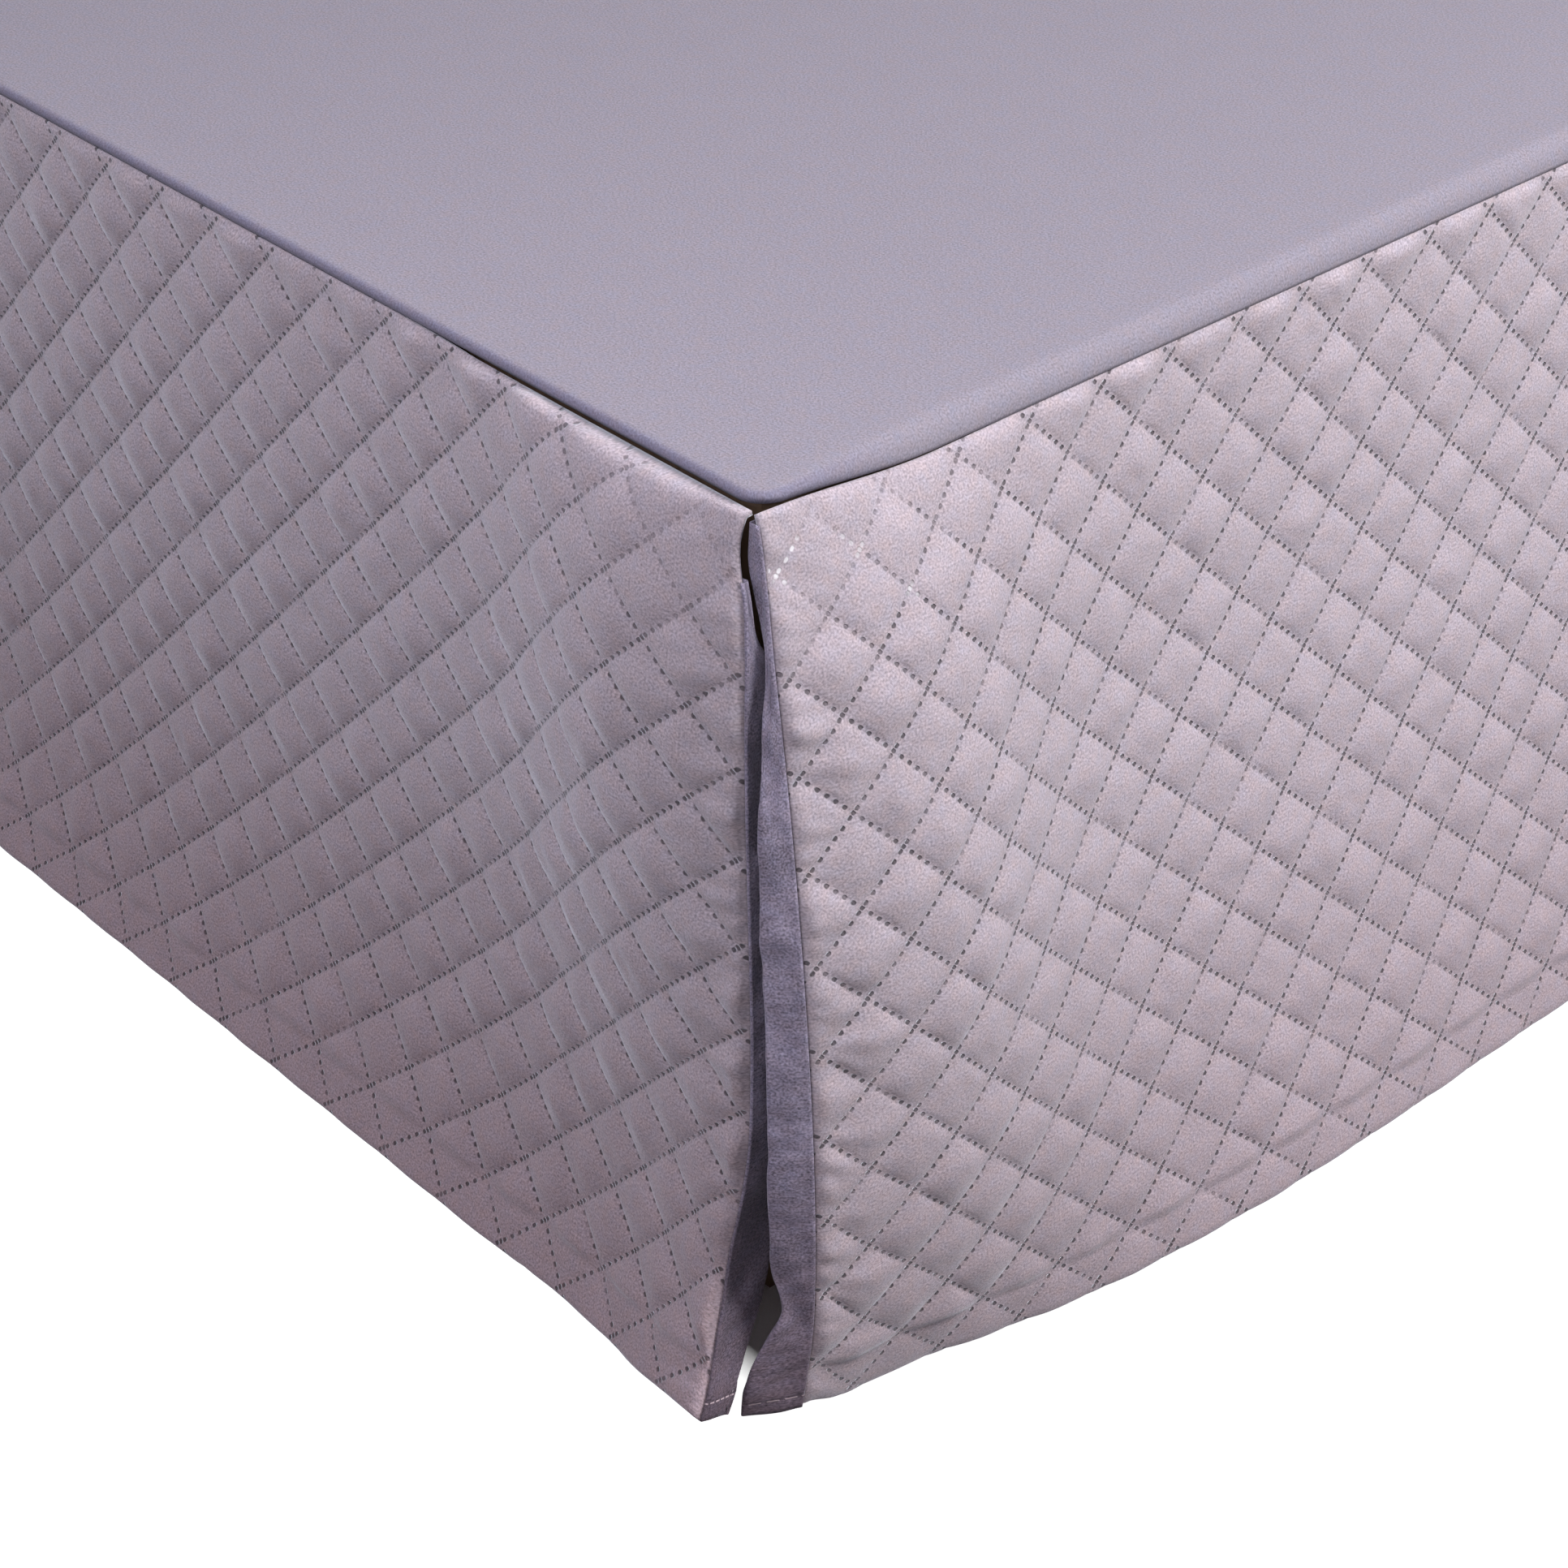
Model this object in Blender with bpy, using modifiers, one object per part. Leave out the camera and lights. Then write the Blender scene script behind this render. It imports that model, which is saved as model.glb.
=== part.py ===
"""Bed skirt on the bed base that it dresses: a plain deck, three diamond-quilted drops that part at
the two foot corners, and a plain facing strip on each drop's end there. Metres, +Z up, the foot of
the bed towards -Y and its head towards +Y. A drop hangs as cloth does: it only bends, so where its
hem swings out the hem also rises by what the bend takes up."""

import bpy
import bmesh
import numpy as np
from mathutils.geometry import delaunay_2d_cdt

# The bed
WIDTH = 0.991  # across the bed, between the side seams
LENGTH = 1.905  # foot seam to head edge
FOOT_Y = -0.9212  # the foot seam; the middle of the whole part's box is then within 2 mm of the origin
SEAM_Z = 0.387  # height of the foot seam
SIDE_LOWER = 0.006  # the side seams sit this much lower than the foot seam
SIDE_EASE = 0.080  # and come down to it over this length from the corner
BASE_IN = 0.007  # the base's sides, inside the seams
BASE_BOTTOM = 0.150  # underside of the base's box
BASE_EDGE = 0.009  # its rounded edges
LEG = 0.060  # square leg
LEG_IN = 0.030  # legs, inside the box's sides

# The cloth
LIP = 0.0045  # the deck's rolled edge stands this high over the foot seam
ROLL = 0.009  # how far in from the seam the roll begins
CORNER_R = 0.010  # the deck's corners, seen from above
DROP = 0.376  # length of a drop, seam to hem
HEM = 0.020  # turned-up hem
PITCH = 0.03667  # quilting diamond, point to point
PUFF = 0.0016  # a diamond's middle over its stitch lines
QUILTED = 0.0022  # thickness of quilted cloth at a stitch line
HEM_EXTRA = 0.0006  # the turned-up hem is thicker by this
PLAIN = 0.0012  # thickness of plain cloth
GAP = 0.0003  # between sewn pieces
STRIP_FOLD = 0.0010  # radius of a facing strip's free fold
STRIP_BACK = 0.018  # how far along its drop's back a facing strip is fixed
STRIP_TOP = 0.026  # a facing strip begins this far down its drop, under the corner's seams
STRIP_OFF = 0.0054  # the strip's middle there, inside the drop's face
SHIFT_RUN = 0.022  # the length over which a shift of a drop's edge fades

# How a drop's end falls at a split corner, one row for each end. ease: cloth past the corner; room:
# from the corner to the end at the seam; tip, tip_run, tip_curve: the hem's swing at the end, how far
# along it fades and how late down it comes; puff, puff_at, puff_run, puff_rise: the soft fold beside
# the corner, its middle, its width and how high up it swells; low, low_fall, run: how far the cloth
# is let out along the seam lower down, the depth over which that sets in, and the length it fades
# over; lift, lift_run: the hem's rise at the end; shifts: for heights down the end, how far its edge
# alone is drawn back from where the rest would put it.
ENDS = {
    "foot_right": dict(
        ease=0.0018, room=-0.0022, tip=0.0588, tip_run=0.0507, tip_curve=1.78, puff=0.0219, puff_at=0.060,
        puff_run=0.0691, puff_rise=0.485, low=-0.0421, low_fall=0.459, run=0.302, lift=0.0177, lift_run=0.041,
        shifts=((0, 0.0055), (0.014, 0.0068), (0.019, 0.0068), (0.030, 0.001), (0.055, -0.001), (0.26, 0),
                (0.31, 0.0048), (0.345, 0.0005), (0.376, -0.0080)),
    ),
    "foot_left": dict(
        ease=0.0018, room=-0.0022, tip=0.0520, tip_run=0.0600, tip_curve=2.10, puff=0.0190, puff_at=0.055,
        puff_run=0.0800, puff_rise=0.560, low=-0.0350, low_fall=0.420, run=0.280, lift=0.0120, lift_run=0.050,
        shifts=((0, 0.0055), (0.040, 0.0010), (0.20, 0), (0.30, 0.0020), (0.376, -0.0040)),
    ),
    "side_right": dict(
        ease=0.0074, room=-0.0022, tip=0.0391, tip_run=0.1448, tip_curve=3.78, puff=0.0247, puff_at=0.060,
        puff_run=0.0718, puff_rise=0.740, low=-0.0054, low_fall=0.221, run=0.056, lift=0.010, lift_run=0.013,
        shifts=((0, 0.0018), (0.020, 0.0014), (0.050, 0), (0.33, 0), (0.376, -0.0025)),
    ),
    "side_left": dict(
        ease=0.0074, room=-0.0022, tip=0.0440, tip_run=0.1300, tip_curve=3.40, puff=0.0210, puff_at=0.070,
        puff_run=0.0900, puff_rise=0.800, low=-0.0040, low_fall=0.200, run=0.070, lift=0.0060, lift_run=0.020,
        shifts=((0, 0.0018), (0.020, 0.0014), (0.050, 0), (0.376, 0)),
    ),
}
# A facing strip's rows: height down its drop, how wide it shows, and its lean, from straight in
# (0 degrees) to the drop's own plane (90). Below nought it turns back behind the other drop.
STRIPS = {
    "foot_right": (
        (0.018, 0.0020, 0), (0.024, 0.0030, 0), (0.038, 0.0034, 0), (0.046, 0.0038, 0), (0.054, 0.0080, 0),
        (0.064, 0.0140, -4), (0.085, 0.0190, -5), (0.200, 0.0220, -5), (0.300, 0.0235, -4),
        (0.336, 0.0222, -2), (0.346, 0.0200, 0), (0.354, 0.0160, 0), (0.362, 0.0138, 4), (0.376, 0.0105, 22),
    ),
    "foot_left": (
        (0.018, 0.0020, 0), (0.040, 0.0040, 0), (0.070, 0.0120, -4), (0.200, 0.0200, -4), (0.290, 0.0180, -2),
        (0.320, 0.0195, 0), (0.376, 0.0130, 12),
    ),
    "side_right": (
        (0.002, 0.0024, 0), (0.009, 0.0052, 0), (0.016, 0.0088, 0), (0.030, 0.0076, 0), (0.038, 0.0050, 0),
        (0.045, 0.0032, 2), (0.051, 0.0026, 10), (0.057, 0.0032, 25), (0.066, 0.0045, 40),
        (0.080, 0.0068, 50), (0.120, 0.0113, 50), (0.160, 0.0138, 45), (0.240, 0.0156, 45),
        (0.282, 0.0167, 45), (0.296, 0.0150, 45), (0.304, 0.0178, 46), (0.312, 0.0138, 48),
        (0.320, 0.0096, 50), (0.328, 0.0116, 53), (0.336, 0.0165, 57), (0.346, 0.0212, 60),
        (0.358, 0.0234, 60), (0.376, 0.0230, 60),
    ),
    "side_left": (
        (0.002, 0.0024, 0), (0.009, 0.0050, 0), (0.018, 0.0076, 0), (0.034, 0.0050, 0), (0.045, 0.0032, 4),
        (0.060, 0.0044, 30), (0.090, 0.0080, 48), (0.150, 0.0120, 45), (0.250, 0.0140, 42),
        (0.310, 0.0160, 45), (0.340, 0.0185, 52), (0.376, 0.0205, 55),
    ),
}
# The drops. starts, stops: their split ends (a side drop stops at the head with no split); swing,
# far_swing: the hem's swing near the corner and at the far end; curve: how late down the cloth the
# swing comes; ripple: soft waves along the hem; first_line, first_row: the first crossing of two
# stitch lines, along the seam and down from it.
DROPS = {
    "foot": dict(
        length=WIDTH, starts="foot_right", stops="foot_left", swing=0.0411, far_swing=0.0411, curve=5.6,
        ripple=0.0, first_line=0.0200, first_row=0.0061,
    ),
    "side_right": dict(
        length=LENGTH, starts="side_right", stops=None, swing=0.0750, far_swing=0.0480, curve=1.66,
        ripple=0.004, first_line=0.0150, first_row=0.0049,
    ),
    "side_left": dict(
        length=LENGTH, starts="side_left", stops=None, swing=0.0750, far_swing=0.0450, curve=1.66,
        ripple=0.004, first_line=0.0240, first_row=0.0110,
    ),
}
FAR_FROM, FAR_OVER = 0.7, 1.1  # where along a side its swing starts to change, and over what length
RIPPLE_FROM, RIPPLE_OVER = 0.45, 0.3  # the same for the ripple
RIPPLE_TURN = 14.5  # radians of ripple in a metre
HEAD_SHORT = 0.004  # a side drop stops this far before the head edge
ROW_MARGIN = 0.005  # no grid line of a drop is nearer than this to its edge or to the hem's fold


def smooth(t):
    """0 to 1 with soft ends."""
    t = np.clip(t, 0, 1)
    return t * t * (3 - 2 * t)


def ends_of(drop, u):
    """For each split end of a drop: the way its cloth is pushed, its row, and the distance from it."""
    start = ENDS[drop["starts"]]
    yield 1, start, np.maximum(u + start["ease"], 0)
    if drop["stops"]:
        stop = ENDS[drop["stops"]]
        yield -1, stop, np.maximum(drop["length"] + stop["ease"] - u, 0)


def read_rows(rows, v, column=1):
    """A value read at v from rows of (height down, values), with the corners between them rounded."""
    rows = np.array(rows)
    return sum(np.interp(v + shift, rows[:, 0], rows[:, column]) for shift in 0.004 * np.arange(-2, 3)) / 5


def swing_out(drop, u, v):
    """How far cloth point (u along, v down) stands out from the seam's plane: the hem's flare, which
    grows as a power of the way down, its change at a split end, which grows by its own power, and a
    soft bell-shaped fold beside each split corner."""
    t = v / DROP
    flare = drop["swing"] + (drop["far_swing"] - drop["swing"]) * smooth((u - FAR_FROM) / FAR_OVER)
    flare = flare + drop["ripple"] * np.sin(RIPPLE_TURN * u + 1) * smooth((u - RIPPLE_FROM) / RIPPLE_OVER)
    out = flare * t ** drop["curve"]
    for _, end, away in ends_of(drop, u):
        tip = (end["tip"] - drop["swing"]) * np.exp(-((away / end["tip_run"]) ** 2))
        fold = end["puff"] * np.exp(-(((away - end["puff_at"]) / end["puff_run"]) ** 2))
        out = out + tip * t ** end["tip_curve"] + fold * np.sin(np.pi * t ** end["puff_rise"])
    return out


def along(drop, u, v):
    """Place along the seam: the cloth's own length, drawn back or let out at each split end."""
    x = u + 0 * v
    for way, end, away in ends_of(drop, u):
        at_seam = end["ease"] + end["room"]
        push = end["low"] + (at_seam - end["low"]) * np.exp(-((v / end["low_fall"]) ** 2))
        x = x + way * push * np.exp(-((away / end["run"]) ** 2))
        x = x + way * read_rows(end["shifts"], v) * np.exp(-((away / SHIFT_RUN) ** 2))
    return x


def hung(drop, us, vs):
    """Along, out and up at each crossing of us and vs. Each small step down the cloth keeps its
    length, so what goes out doesn't go down."""
    fine = np.linspace(0, DROP, 95)
    step = fine[1]
    out = swing_out(drop, us[:, None], fine[None, :])
    down = np.sqrt(np.maximum(step**2 - np.diff(out, axis=1) ** 2, (0.3 * step) ** 2))
    depth = np.concatenate([np.zeros((len(us), 1)), np.cumsum(down, axis=1)], axis=1)
    z = -np.array([np.interp(vs, fine, column) for column in depth])
    for _, end, away in ends_of(drop, us):
        rise = end["lift"] * np.exp(-((away / end["lift_run"]) ** 2))
        z += rise[:, None] * (vs[None, :] / DROP) ** 3
    return along(drop, us[:, None], vs[None, :]), swing_out(drop, us[:, None], vs[None, :]), z


def placed(side, x, out, z):
    """A drop's along, out and up in the bed's frame. The foot drop starts at the +X corner."""
    if side == "foot":
        return np.stack([WIDTH / 2 - x, FOOT_Y - out, SEAM_Z - GAP + z], -1)
    sign = 1 if side == "side_right" else -1
    lower = SIDE_LOWER * smooth(x / SIDE_EASE)
    return np.stack([sign * (WIDTH / 2 + out), FOOT_Y + x, SEAM_Z - GAP - lower + z], -1)


def unit_normals(points):
    """Unit normals of a grid of points."""
    n = np.cross(np.gradient(points, axis=0), np.gradient(points, axis=1))
    return n / np.linalg.norm(n, axis=-1, keepdims=True)


def material(name, colour, roughness):
    m = bpy.data.materials.new(name)
    m.use_nodes = True
    shader = m.node_tree.nodes["Principled BSDF"]
    shader.inputs["Base Color"].default_value = (*colour, 1)
    shader.inputs["Roughness"].default_value = roughness
    shader.inputs["Metallic"].default_value = 0
    return m


def add(name, bm, mat, collection):
    bmesh.ops.recalc_face_normals(bm, faces=bm.faces)
    mesh = bpy.data.meshes.new(name)
    bm.to_mesh(mesh)
    bm.free()
    mesh.materials.append(mat)
    ob = bpy.data.objects.new(name, mesh)
    collection.objects.link(ob)
    return ob


def sheet(name, front, back, cloth, kept, stitched, mat):
    """One closed sheet of cloth. front is a full grid of points, and where stitched says that a
    stitch line crosses two opposite corners of a square, the square is split along that line. The
    back is flatter and sparser: it shares the border and keeps only the grid points listed in kept,
    joined by a triangulation in the cloth's own flat coordinates."""
    ni, nj = front.shape[:2]
    bm = bmesh.new()
    face = [[bm.verts.new(p) for p in column] for column in front]
    for i in range(ni - 1):
        for j in range(nj - 1):
            a, b, c, d = face[i][j], face[i + 1][j], face[i + 1][j + 1], face[i][j + 1]
            if stitched[i, j] and stitched[i + 1, j + 1]:
                bm.faces.new((a, b, c))
                bm.faces.new((a, c, d))
            else:
                bm.faces.new((a, b, d))
                bm.faces.new((b, c, d))
    rim = [(i, 0) for i in range(ni)] + [(ni - 1, j) for j in range(1, nj)]
    rim += [(i, nj - 1) for i in range(ni - 2, -1, -1)] + [(0, j) for j in range(nj - 2, 0, -1)]
    flat = [tuple(cloth[place]) for place in rim + kept]
    border = [(k, (k + 1) % len(rim)) for k in range(len(rim))]
    _, _, triangles, sources, _, _ = delaunay_2d_cdt(flat, border, [], 1, 1e-7)
    under = {n: bm.verts.new(back[(rim + kept)[source[0]]]) for n, source in enumerate(sources)}
    at_rim = {source[0]: under[n] for n, source in enumerate(sources)}
    for triangle in triangles:
        bm.faces.new([under[n] for n in triangle])
    for k, m in border:
        (i, j), (p, q) = rim[k], rim[m]
        bm.faces.new((face[i][j], at_rim[k], at_rim[m], face[p][q]))
    return add(name, bm, mat, part)


def drop_rows(drop):
    """Heights down a drop of the rows of its grid: the stitch crossings, the hem's fold and the hem."""
    rows = np.arange(0, np.floor((DROP - HEM - ROW_MARGIN - drop["first_row"]) / (PITCH / 2)) + 1)
    return rows, np.concatenate([[0], drop["first_row"] + PITCH / 2 * rows, [DROP - HEM, DROP]])


def quilted_drop(name, side, mat):
    """A drop. Its stitch lines run at 45 degrees through a grid of half the diamonds' pitch, where
    every second point is a crossing and every other one is the raised middle of a diamond."""
    drop = DROPS[side]
    half = PITCH / 2
    first = -ENDS[drop["starts"]]["ease"]
    last = drop["length"] + ENDS[drop["stops"]]["ease"] if drop["stops"] else drop["length"] - HEAD_SHORT
    low = np.ceil((first + ROW_MARGIN - drop["first_line"]) / half)
    high = np.floor((last - ROW_MARGIN - drop["first_line"]) / half)
    columns = np.arange(low, high + 1)
    rows, vs = drop_rows(drop)
    us = np.concatenate([[first], drop["first_line"] + half * columns, [last]])
    crossing = (columns[:, None] + rows[None, :]) % 2 == 0
    stitched = np.zeros((len(us), len(vs)), bool)
    stitched[1:-1, 1:-2] = crossing
    raised = np.zeros(stitched.shape)
    raised[1:-1, 1:-2] = np.where(crossing, 0, PUFF)
    raised[[1, -2]] /= 2
    points = placed(side, *hung(drop, us, vs))
    normals = unit_normals(points)
    outward = np.array({"foot": (0, -1, 0), "side_right": (1, 0, 0), "side_left": (-1, 0, 0)}[side])
    normals *= np.sign((normals @ outward).mean())
    thick = np.full(stitched.shape, QUILTED)
    thick[:, -2:] += HEM_EXTRA
    folded = 0.30  # the back is closer-meshed this near to a split end, where the cloth folds
    bent = (us < folded) | ((us > last - folded) & bool(drop["stops"]))
    kept_columns = [i for i in range(2, len(us) - 2, 2) if bent[i] or i % 4 == 0]
    kept = [(i, j) for i in kept_columns for j in range(2, len(vs) - 2, 2)]
    cloth = np.stack(np.meshgrid(us, vs, indexing="ij"), -1)
    front, back = points + normals * raised[..., None], points - normals * thick[..., None]
    sheet(name, front, back, cloth, kept, stitched, mat)


def facing(name, side, at, mat):
    """The plain strip on a drop's end. Seen from above, at each height it leaves the end, runs
    straight at its lean for the width that shows, makes its free fold, and runs back to where it is
    fixed along the drop's back."""
    drop = DROPS[side]
    end, rows = ENDS[drop[at]], STRIPS[drop[at]]
    way = 1 if at == "starts" else -1
    edge = -end["ease"] if at == "starts" else drop["length"] + end["ease"]
    _, drop_vs = drop_rows(drop)
    vs = np.append(STRIP_TOP, drop_vs[drop_vs > STRIP_TOP + ROW_MARGIN])
    hangs = hung(drop, np.array([edge, edge + way * STRIP_BACK]), drop_vs)
    x, out, z = (np.array([np.interp(vs, drop_vs, line) for line in place]) for place in hangs)
    wide, lean = read_rows(rows, vs, 1) - STRIP_FOLD, np.radians(read_rows(rows, vs, 2))
    heading = -np.pi / 2 - lean
    start_a, start_o = -GAP - PLAIN / 2 + 0 * wide, -PLAIN / 2 + 0 * wide
    fold_a, fold_o = start_a + np.cos(heading) * wide, start_o + np.sin(heading) * wide
    path = [(start_a, start_o), ((start_a + fold_a) / 2, (start_o + fold_o) / 2)]
    fall = np.maximum(-np.gradient(z[0], vs), 0.5)
    fix_a, fix_o = way * (x[1] - x[0]), out[1] - out[0] - STRIP_OFF / fall
    homing = np.arctan2(fix_o - fold_o, fix_a - fold_a)
    for turned in (0, 0.33, 0.67, 1):
        turn = heading + turned * (homing - heading)
        bent_a = fold_a + STRIP_FOLD * (np.sin(turn) - np.sin(heading))
        bent_o = fold_o - STRIP_FOLD * (np.cos(turn) - np.cos(heading))
        path.append((bent_a, bent_o))
    path += [((bent_a + fix_a) / 2, (bent_o + fix_o) / 2), (fix_a, fix_o)]
    middle = np.array([placed(side, x[0] + way * a, out[0] + o, z[0]) for a, o in path])
    normals = unit_normals(middle) * PLAIN / 2
    ni, nj = middle.shape[:2]
    cloth = np.stack(np.meshgrid(np.arange(ni) * 0.01, vs, indexing="ij"), -1)
    kept = [(i, j) for i in range(1, ni - 1) for j in range(1, nj - 1)]
    sheet(name, middle + normals, middle - normals, cloth, kept, np.zeros((ni, nj), bool), mat)


def deck_loop(inset, foot_z, side_z):
    """The deck's outline moved in by inset: a rounded rectangle that dips from foot_z at its ends to
    side_z along its sides, anticlockwise from the +X foot corner."""
    x1, y0, y1 = WIDTH / 2 - inset, FOOT_Y + inset, FOOT_Y + LENGTH - inset
    r = max(CORNER_R - inset, 0.001)
    turns = ((x1 - r, y0 + r, -90), (x1 - r, y1 - r, 0), (-x1 + r, y1 - r, 90), (-x1 + r, y0 + r, 180))
    arcs = []
    for cx, cy, start in turns:
        for angle in np.radians(np.linspace(start, start + 90, 6)):
            arcs.append(np.array([cx + r * np.cos(angle), cy + r * np.sin(angle)]))
    outline = []
    for p, q in zip(arcs, arcs[1:] + arcs[:1]):
        outline.append(p)
        length = np.linalg.norm(q - p)
        if length > CORNER_R:
            inner = np.linspace(0.25, length - 0.25, int(length / 0.3))
            marks = np.concatenate([[0.03, 0.08], inner, [length - 0.08, length - 0.03]])
            outline += [p + (q - p) * mark / length for mark in marks]
    outline = np.array(outline)
    at_side = smooth((np.abs(outline[:, 0]) - WIDTH / 2 + 0.012) / 0.010)
    from_ends = np.minimum(outline[:, 1] - FOOT_Y, FOOT_Y + LENGTH - outline[:, 1])
    z = foot_z + (side_z - foot_z) * at_side * smooth(from_ends / SIDE_EASE)
    return [(x, y, h) for (x, y), h in zip(outline, z)]


def deck(name, mat):
    """The deck: a flat cloth over the base's top, rolled over its edge down to the seams."""
    side_lip = LIP + SIDE_LOWER
    rings = []
    for turn in np.linspace(np.pi / 2, 0, 6):  # the outside, from the flat down over the edge
        inset, rise = ROLL * (1 - np.cos(turn)), np.sin(turn)
        rings.append(deck_loop(inset, SEAM_Z + LIP * rise, SEAM_Z - SIDE_LOWER + side_lip * rise))
    for turn in np.linspace(0, np.pi / 2, 4):  # and back up inside, one thickness in
        inset, rise = PLAIN + ROLL * (1 - np.cos(turn)), np.sin(turn)
        foot_z = SEAM_Z + (LIP - PLAIN) * rise
        rings.append(deck_loop(inset, foot_z, SEAM_Z - SIDE_LOWER + (side_lip - PLAIN) * rise))
    bm = bmesh.new()
    verts = [[bm.verts.new(p) for p in ring] for ring in rings]
    for one, two in zip(verts, verts[1:]):
        for k in range(len(one)):
            m = (k + 1) % len(one)
            bm.faces.new((one[k], two[k], two[m], one[m]))
    bm.faces.new(verts[0])
    bm.faces.new(verts[-1][::-1])
    add(name, bm, mat, part)


def block(name, size, at, mat, collection):
    bm = bmesh.new()
    bmesh.ops.create_cube(bm, size=1)
    bmesh.ops.scale(bm, vec=size, verts=bm.verts)
    bmesh.ops.translate(bm, vec=at, verts=bm.verts)
    return add(name, bm, mat, collection)


def bed_base(name, mat):
    """The base: a plain box with rounded edges inside the seams, on six square legs."""
    top = SEAM_Z + LIP - PLAIN - GAP
    wide, long = WIDTH - 2 * BASE_IN, LENGTH - 2 * BASE_IN
    size = (wide, long, top - BASE_BOTTOM)
    base = block(name, size, (0, FOOT_Y + LENGTH / 2, (top + BASE_BOTTOM) / 2), mat, part)
    edges = base.modifiers.new("rounded_edges", "BEVEL")
    edges.width = BASE_EDGE
    edges.segments = 2
    sunk = 0.020  # a leg's top, inside the box
    leg_x = wide / 2 - LEG_IN - LEG / 2
    leg_y = np.linspace(-1, 1, 3) * (long / 2 - LEG_IN - LEG / 2) + FOOT_Y + LENGTH / 2
    for n, (x, y) in enumerate([(x, y) for x in (-leg_x, leg_x) for y in leg_y]):
        height = BASE_BOTTOM + sunk
        leg = block(f"leg_{n}", (LEG, LEG, height), (x, y, height / 2), mat, joined)
        leg.hide_render = True
        leg.display_type = "WIRE"
        join = base.modifiers.new(f"join_leg_{n}", "BOOLEAN")
        join.operation = "UNION"
        join.object = leg


for ob in list(bpy.data.objects):
    bpy.data.objects.remove(ob)
part = bpy.data.collections.new("bed_skirt")
joined = bpy.data.collections.new("joined_legs")
bpy.context.scene.collection.children.link(part)
bpy.context.scene.collection.children.link(joined)

deck_cloth = material("deck_cloth", (0.39, 0.36, 0.43), 0.9)
quilted_cloth = material("quilted_cloth", (0.36, 0.32, 0.37), 0.9)
facing_cloth = material("facing_cloth", (0.17, 0.15, 0.20), 0.9)
base_wood = material("base_wood", (0.62, 0.47, 0.31), 0.6)

deck("deck", deck_cloth)
quilted_drop("drop_foot", "foot", quilted_cloth)
quilted_drop("drop_side_right", "side_right", quilted_cloth)
quilted_drop("drop_side_left", "side_left", quilted_cloth)
facing("facing_foot_right", "foot", "starts", facing_cloth)
facing("facing_foot_left", "foot", "stops", facing_cloth)
facing("facing_side_right", "side_right", "starts", facing_cloth)
facing("facing_side_left", "side_left", "starts", facing_cloth)
bed_base("bed_base", base_wood)
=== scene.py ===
"""A bed skirt on its bed base: a plain deck rolled over the base's edges, three drops of
diamond-pressed cloth that part at the foot corners, and dark facing strips in the two splits.
Metres, +Z up, the foot of the bed towards -Y."""

import math

import bpy
import numpy as np
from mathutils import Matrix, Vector


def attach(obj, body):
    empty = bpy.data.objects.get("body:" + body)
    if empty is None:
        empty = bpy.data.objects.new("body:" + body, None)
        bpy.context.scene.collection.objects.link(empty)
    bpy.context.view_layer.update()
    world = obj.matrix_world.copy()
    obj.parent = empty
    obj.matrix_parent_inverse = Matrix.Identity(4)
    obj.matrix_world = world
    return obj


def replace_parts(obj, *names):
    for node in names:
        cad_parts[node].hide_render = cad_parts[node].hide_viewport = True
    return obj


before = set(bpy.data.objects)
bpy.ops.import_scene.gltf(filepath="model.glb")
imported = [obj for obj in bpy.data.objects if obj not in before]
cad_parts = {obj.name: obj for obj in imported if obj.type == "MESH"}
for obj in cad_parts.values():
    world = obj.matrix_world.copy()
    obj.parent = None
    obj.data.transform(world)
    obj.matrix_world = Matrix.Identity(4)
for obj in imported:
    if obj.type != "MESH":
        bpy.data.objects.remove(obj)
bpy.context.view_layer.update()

# --------------------------------------
# The view and the studio: the camera looks down on the split foot corner. One
# large soft box over the right side is the main light, four weaker ones fill in
# from the foot, the left and above, and the floor is plain and white.
# --------------------------------------
view = bpy.data.cameras.new("corner_view")
view.sensor_width = 36
view.lens = 76.79
camera = bpy.data.objects.new("corner_view", view)
camera.location = (1.1992, -1.5505, 0.9247)
camera.rotation_euler = (math.radians(55.7), 0, math.radians(47.7))
bpy.context.collection.objects.link(camera)
bpy.context.scene.camera = camera
bpy.context.scene.view_settings.view_transform = "Standard"

CORNER = (0.4955, -0.92, 0.30)  # the split corner
FOOT_MIDDLE = (0.0, -0.93, 0.20)
FAR_DECK = (-0.45, -0.35, 0.39)


def soft_box(name, place, target, size, watts, colour):
    """A square studio light that faces its target and isn't seen itself."""
    lamp = bpy.data.lights.new(name, "AREA")
    lamp.size, lamp.energy, lamp.color = size, watts, colour
    box = bpy.data.objects.new(name, lamp)
    box.location = place
    box.rotation_euler = (Vector(target) - Vector(place)).to_track_quat("-Z", "Y").to_euler()
    box.visible_camera = False
    bpy.context.collection.objects.link(box)


soft_box("key_box", (1.65, 0.05, 1.75), CORNER, 1.0, 57.0, (1.0, 0.975, 0.99))
soft_box("fill_box", (0.45, -1.65, 1.12), CORNER, 0.8, 6.7, (1.0, 0.955, 1.06))
soft_box("front_box", (1.45, -1.95, 1.30), CORNER, 0.6, 4.0, (1.0, 0.98, 1.03))
soft_box("left_box", (-2.20, -1.62, 0.80), FOOT_MIDDLE, 0.6, 16.0, (0.95, 0.97, 1.04))
soft_box("top_box", (-0.45, -0.35, 1.29), FAR_DECK, 0.8, 2.2, (1.0, 0.98, 1.0))


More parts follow.
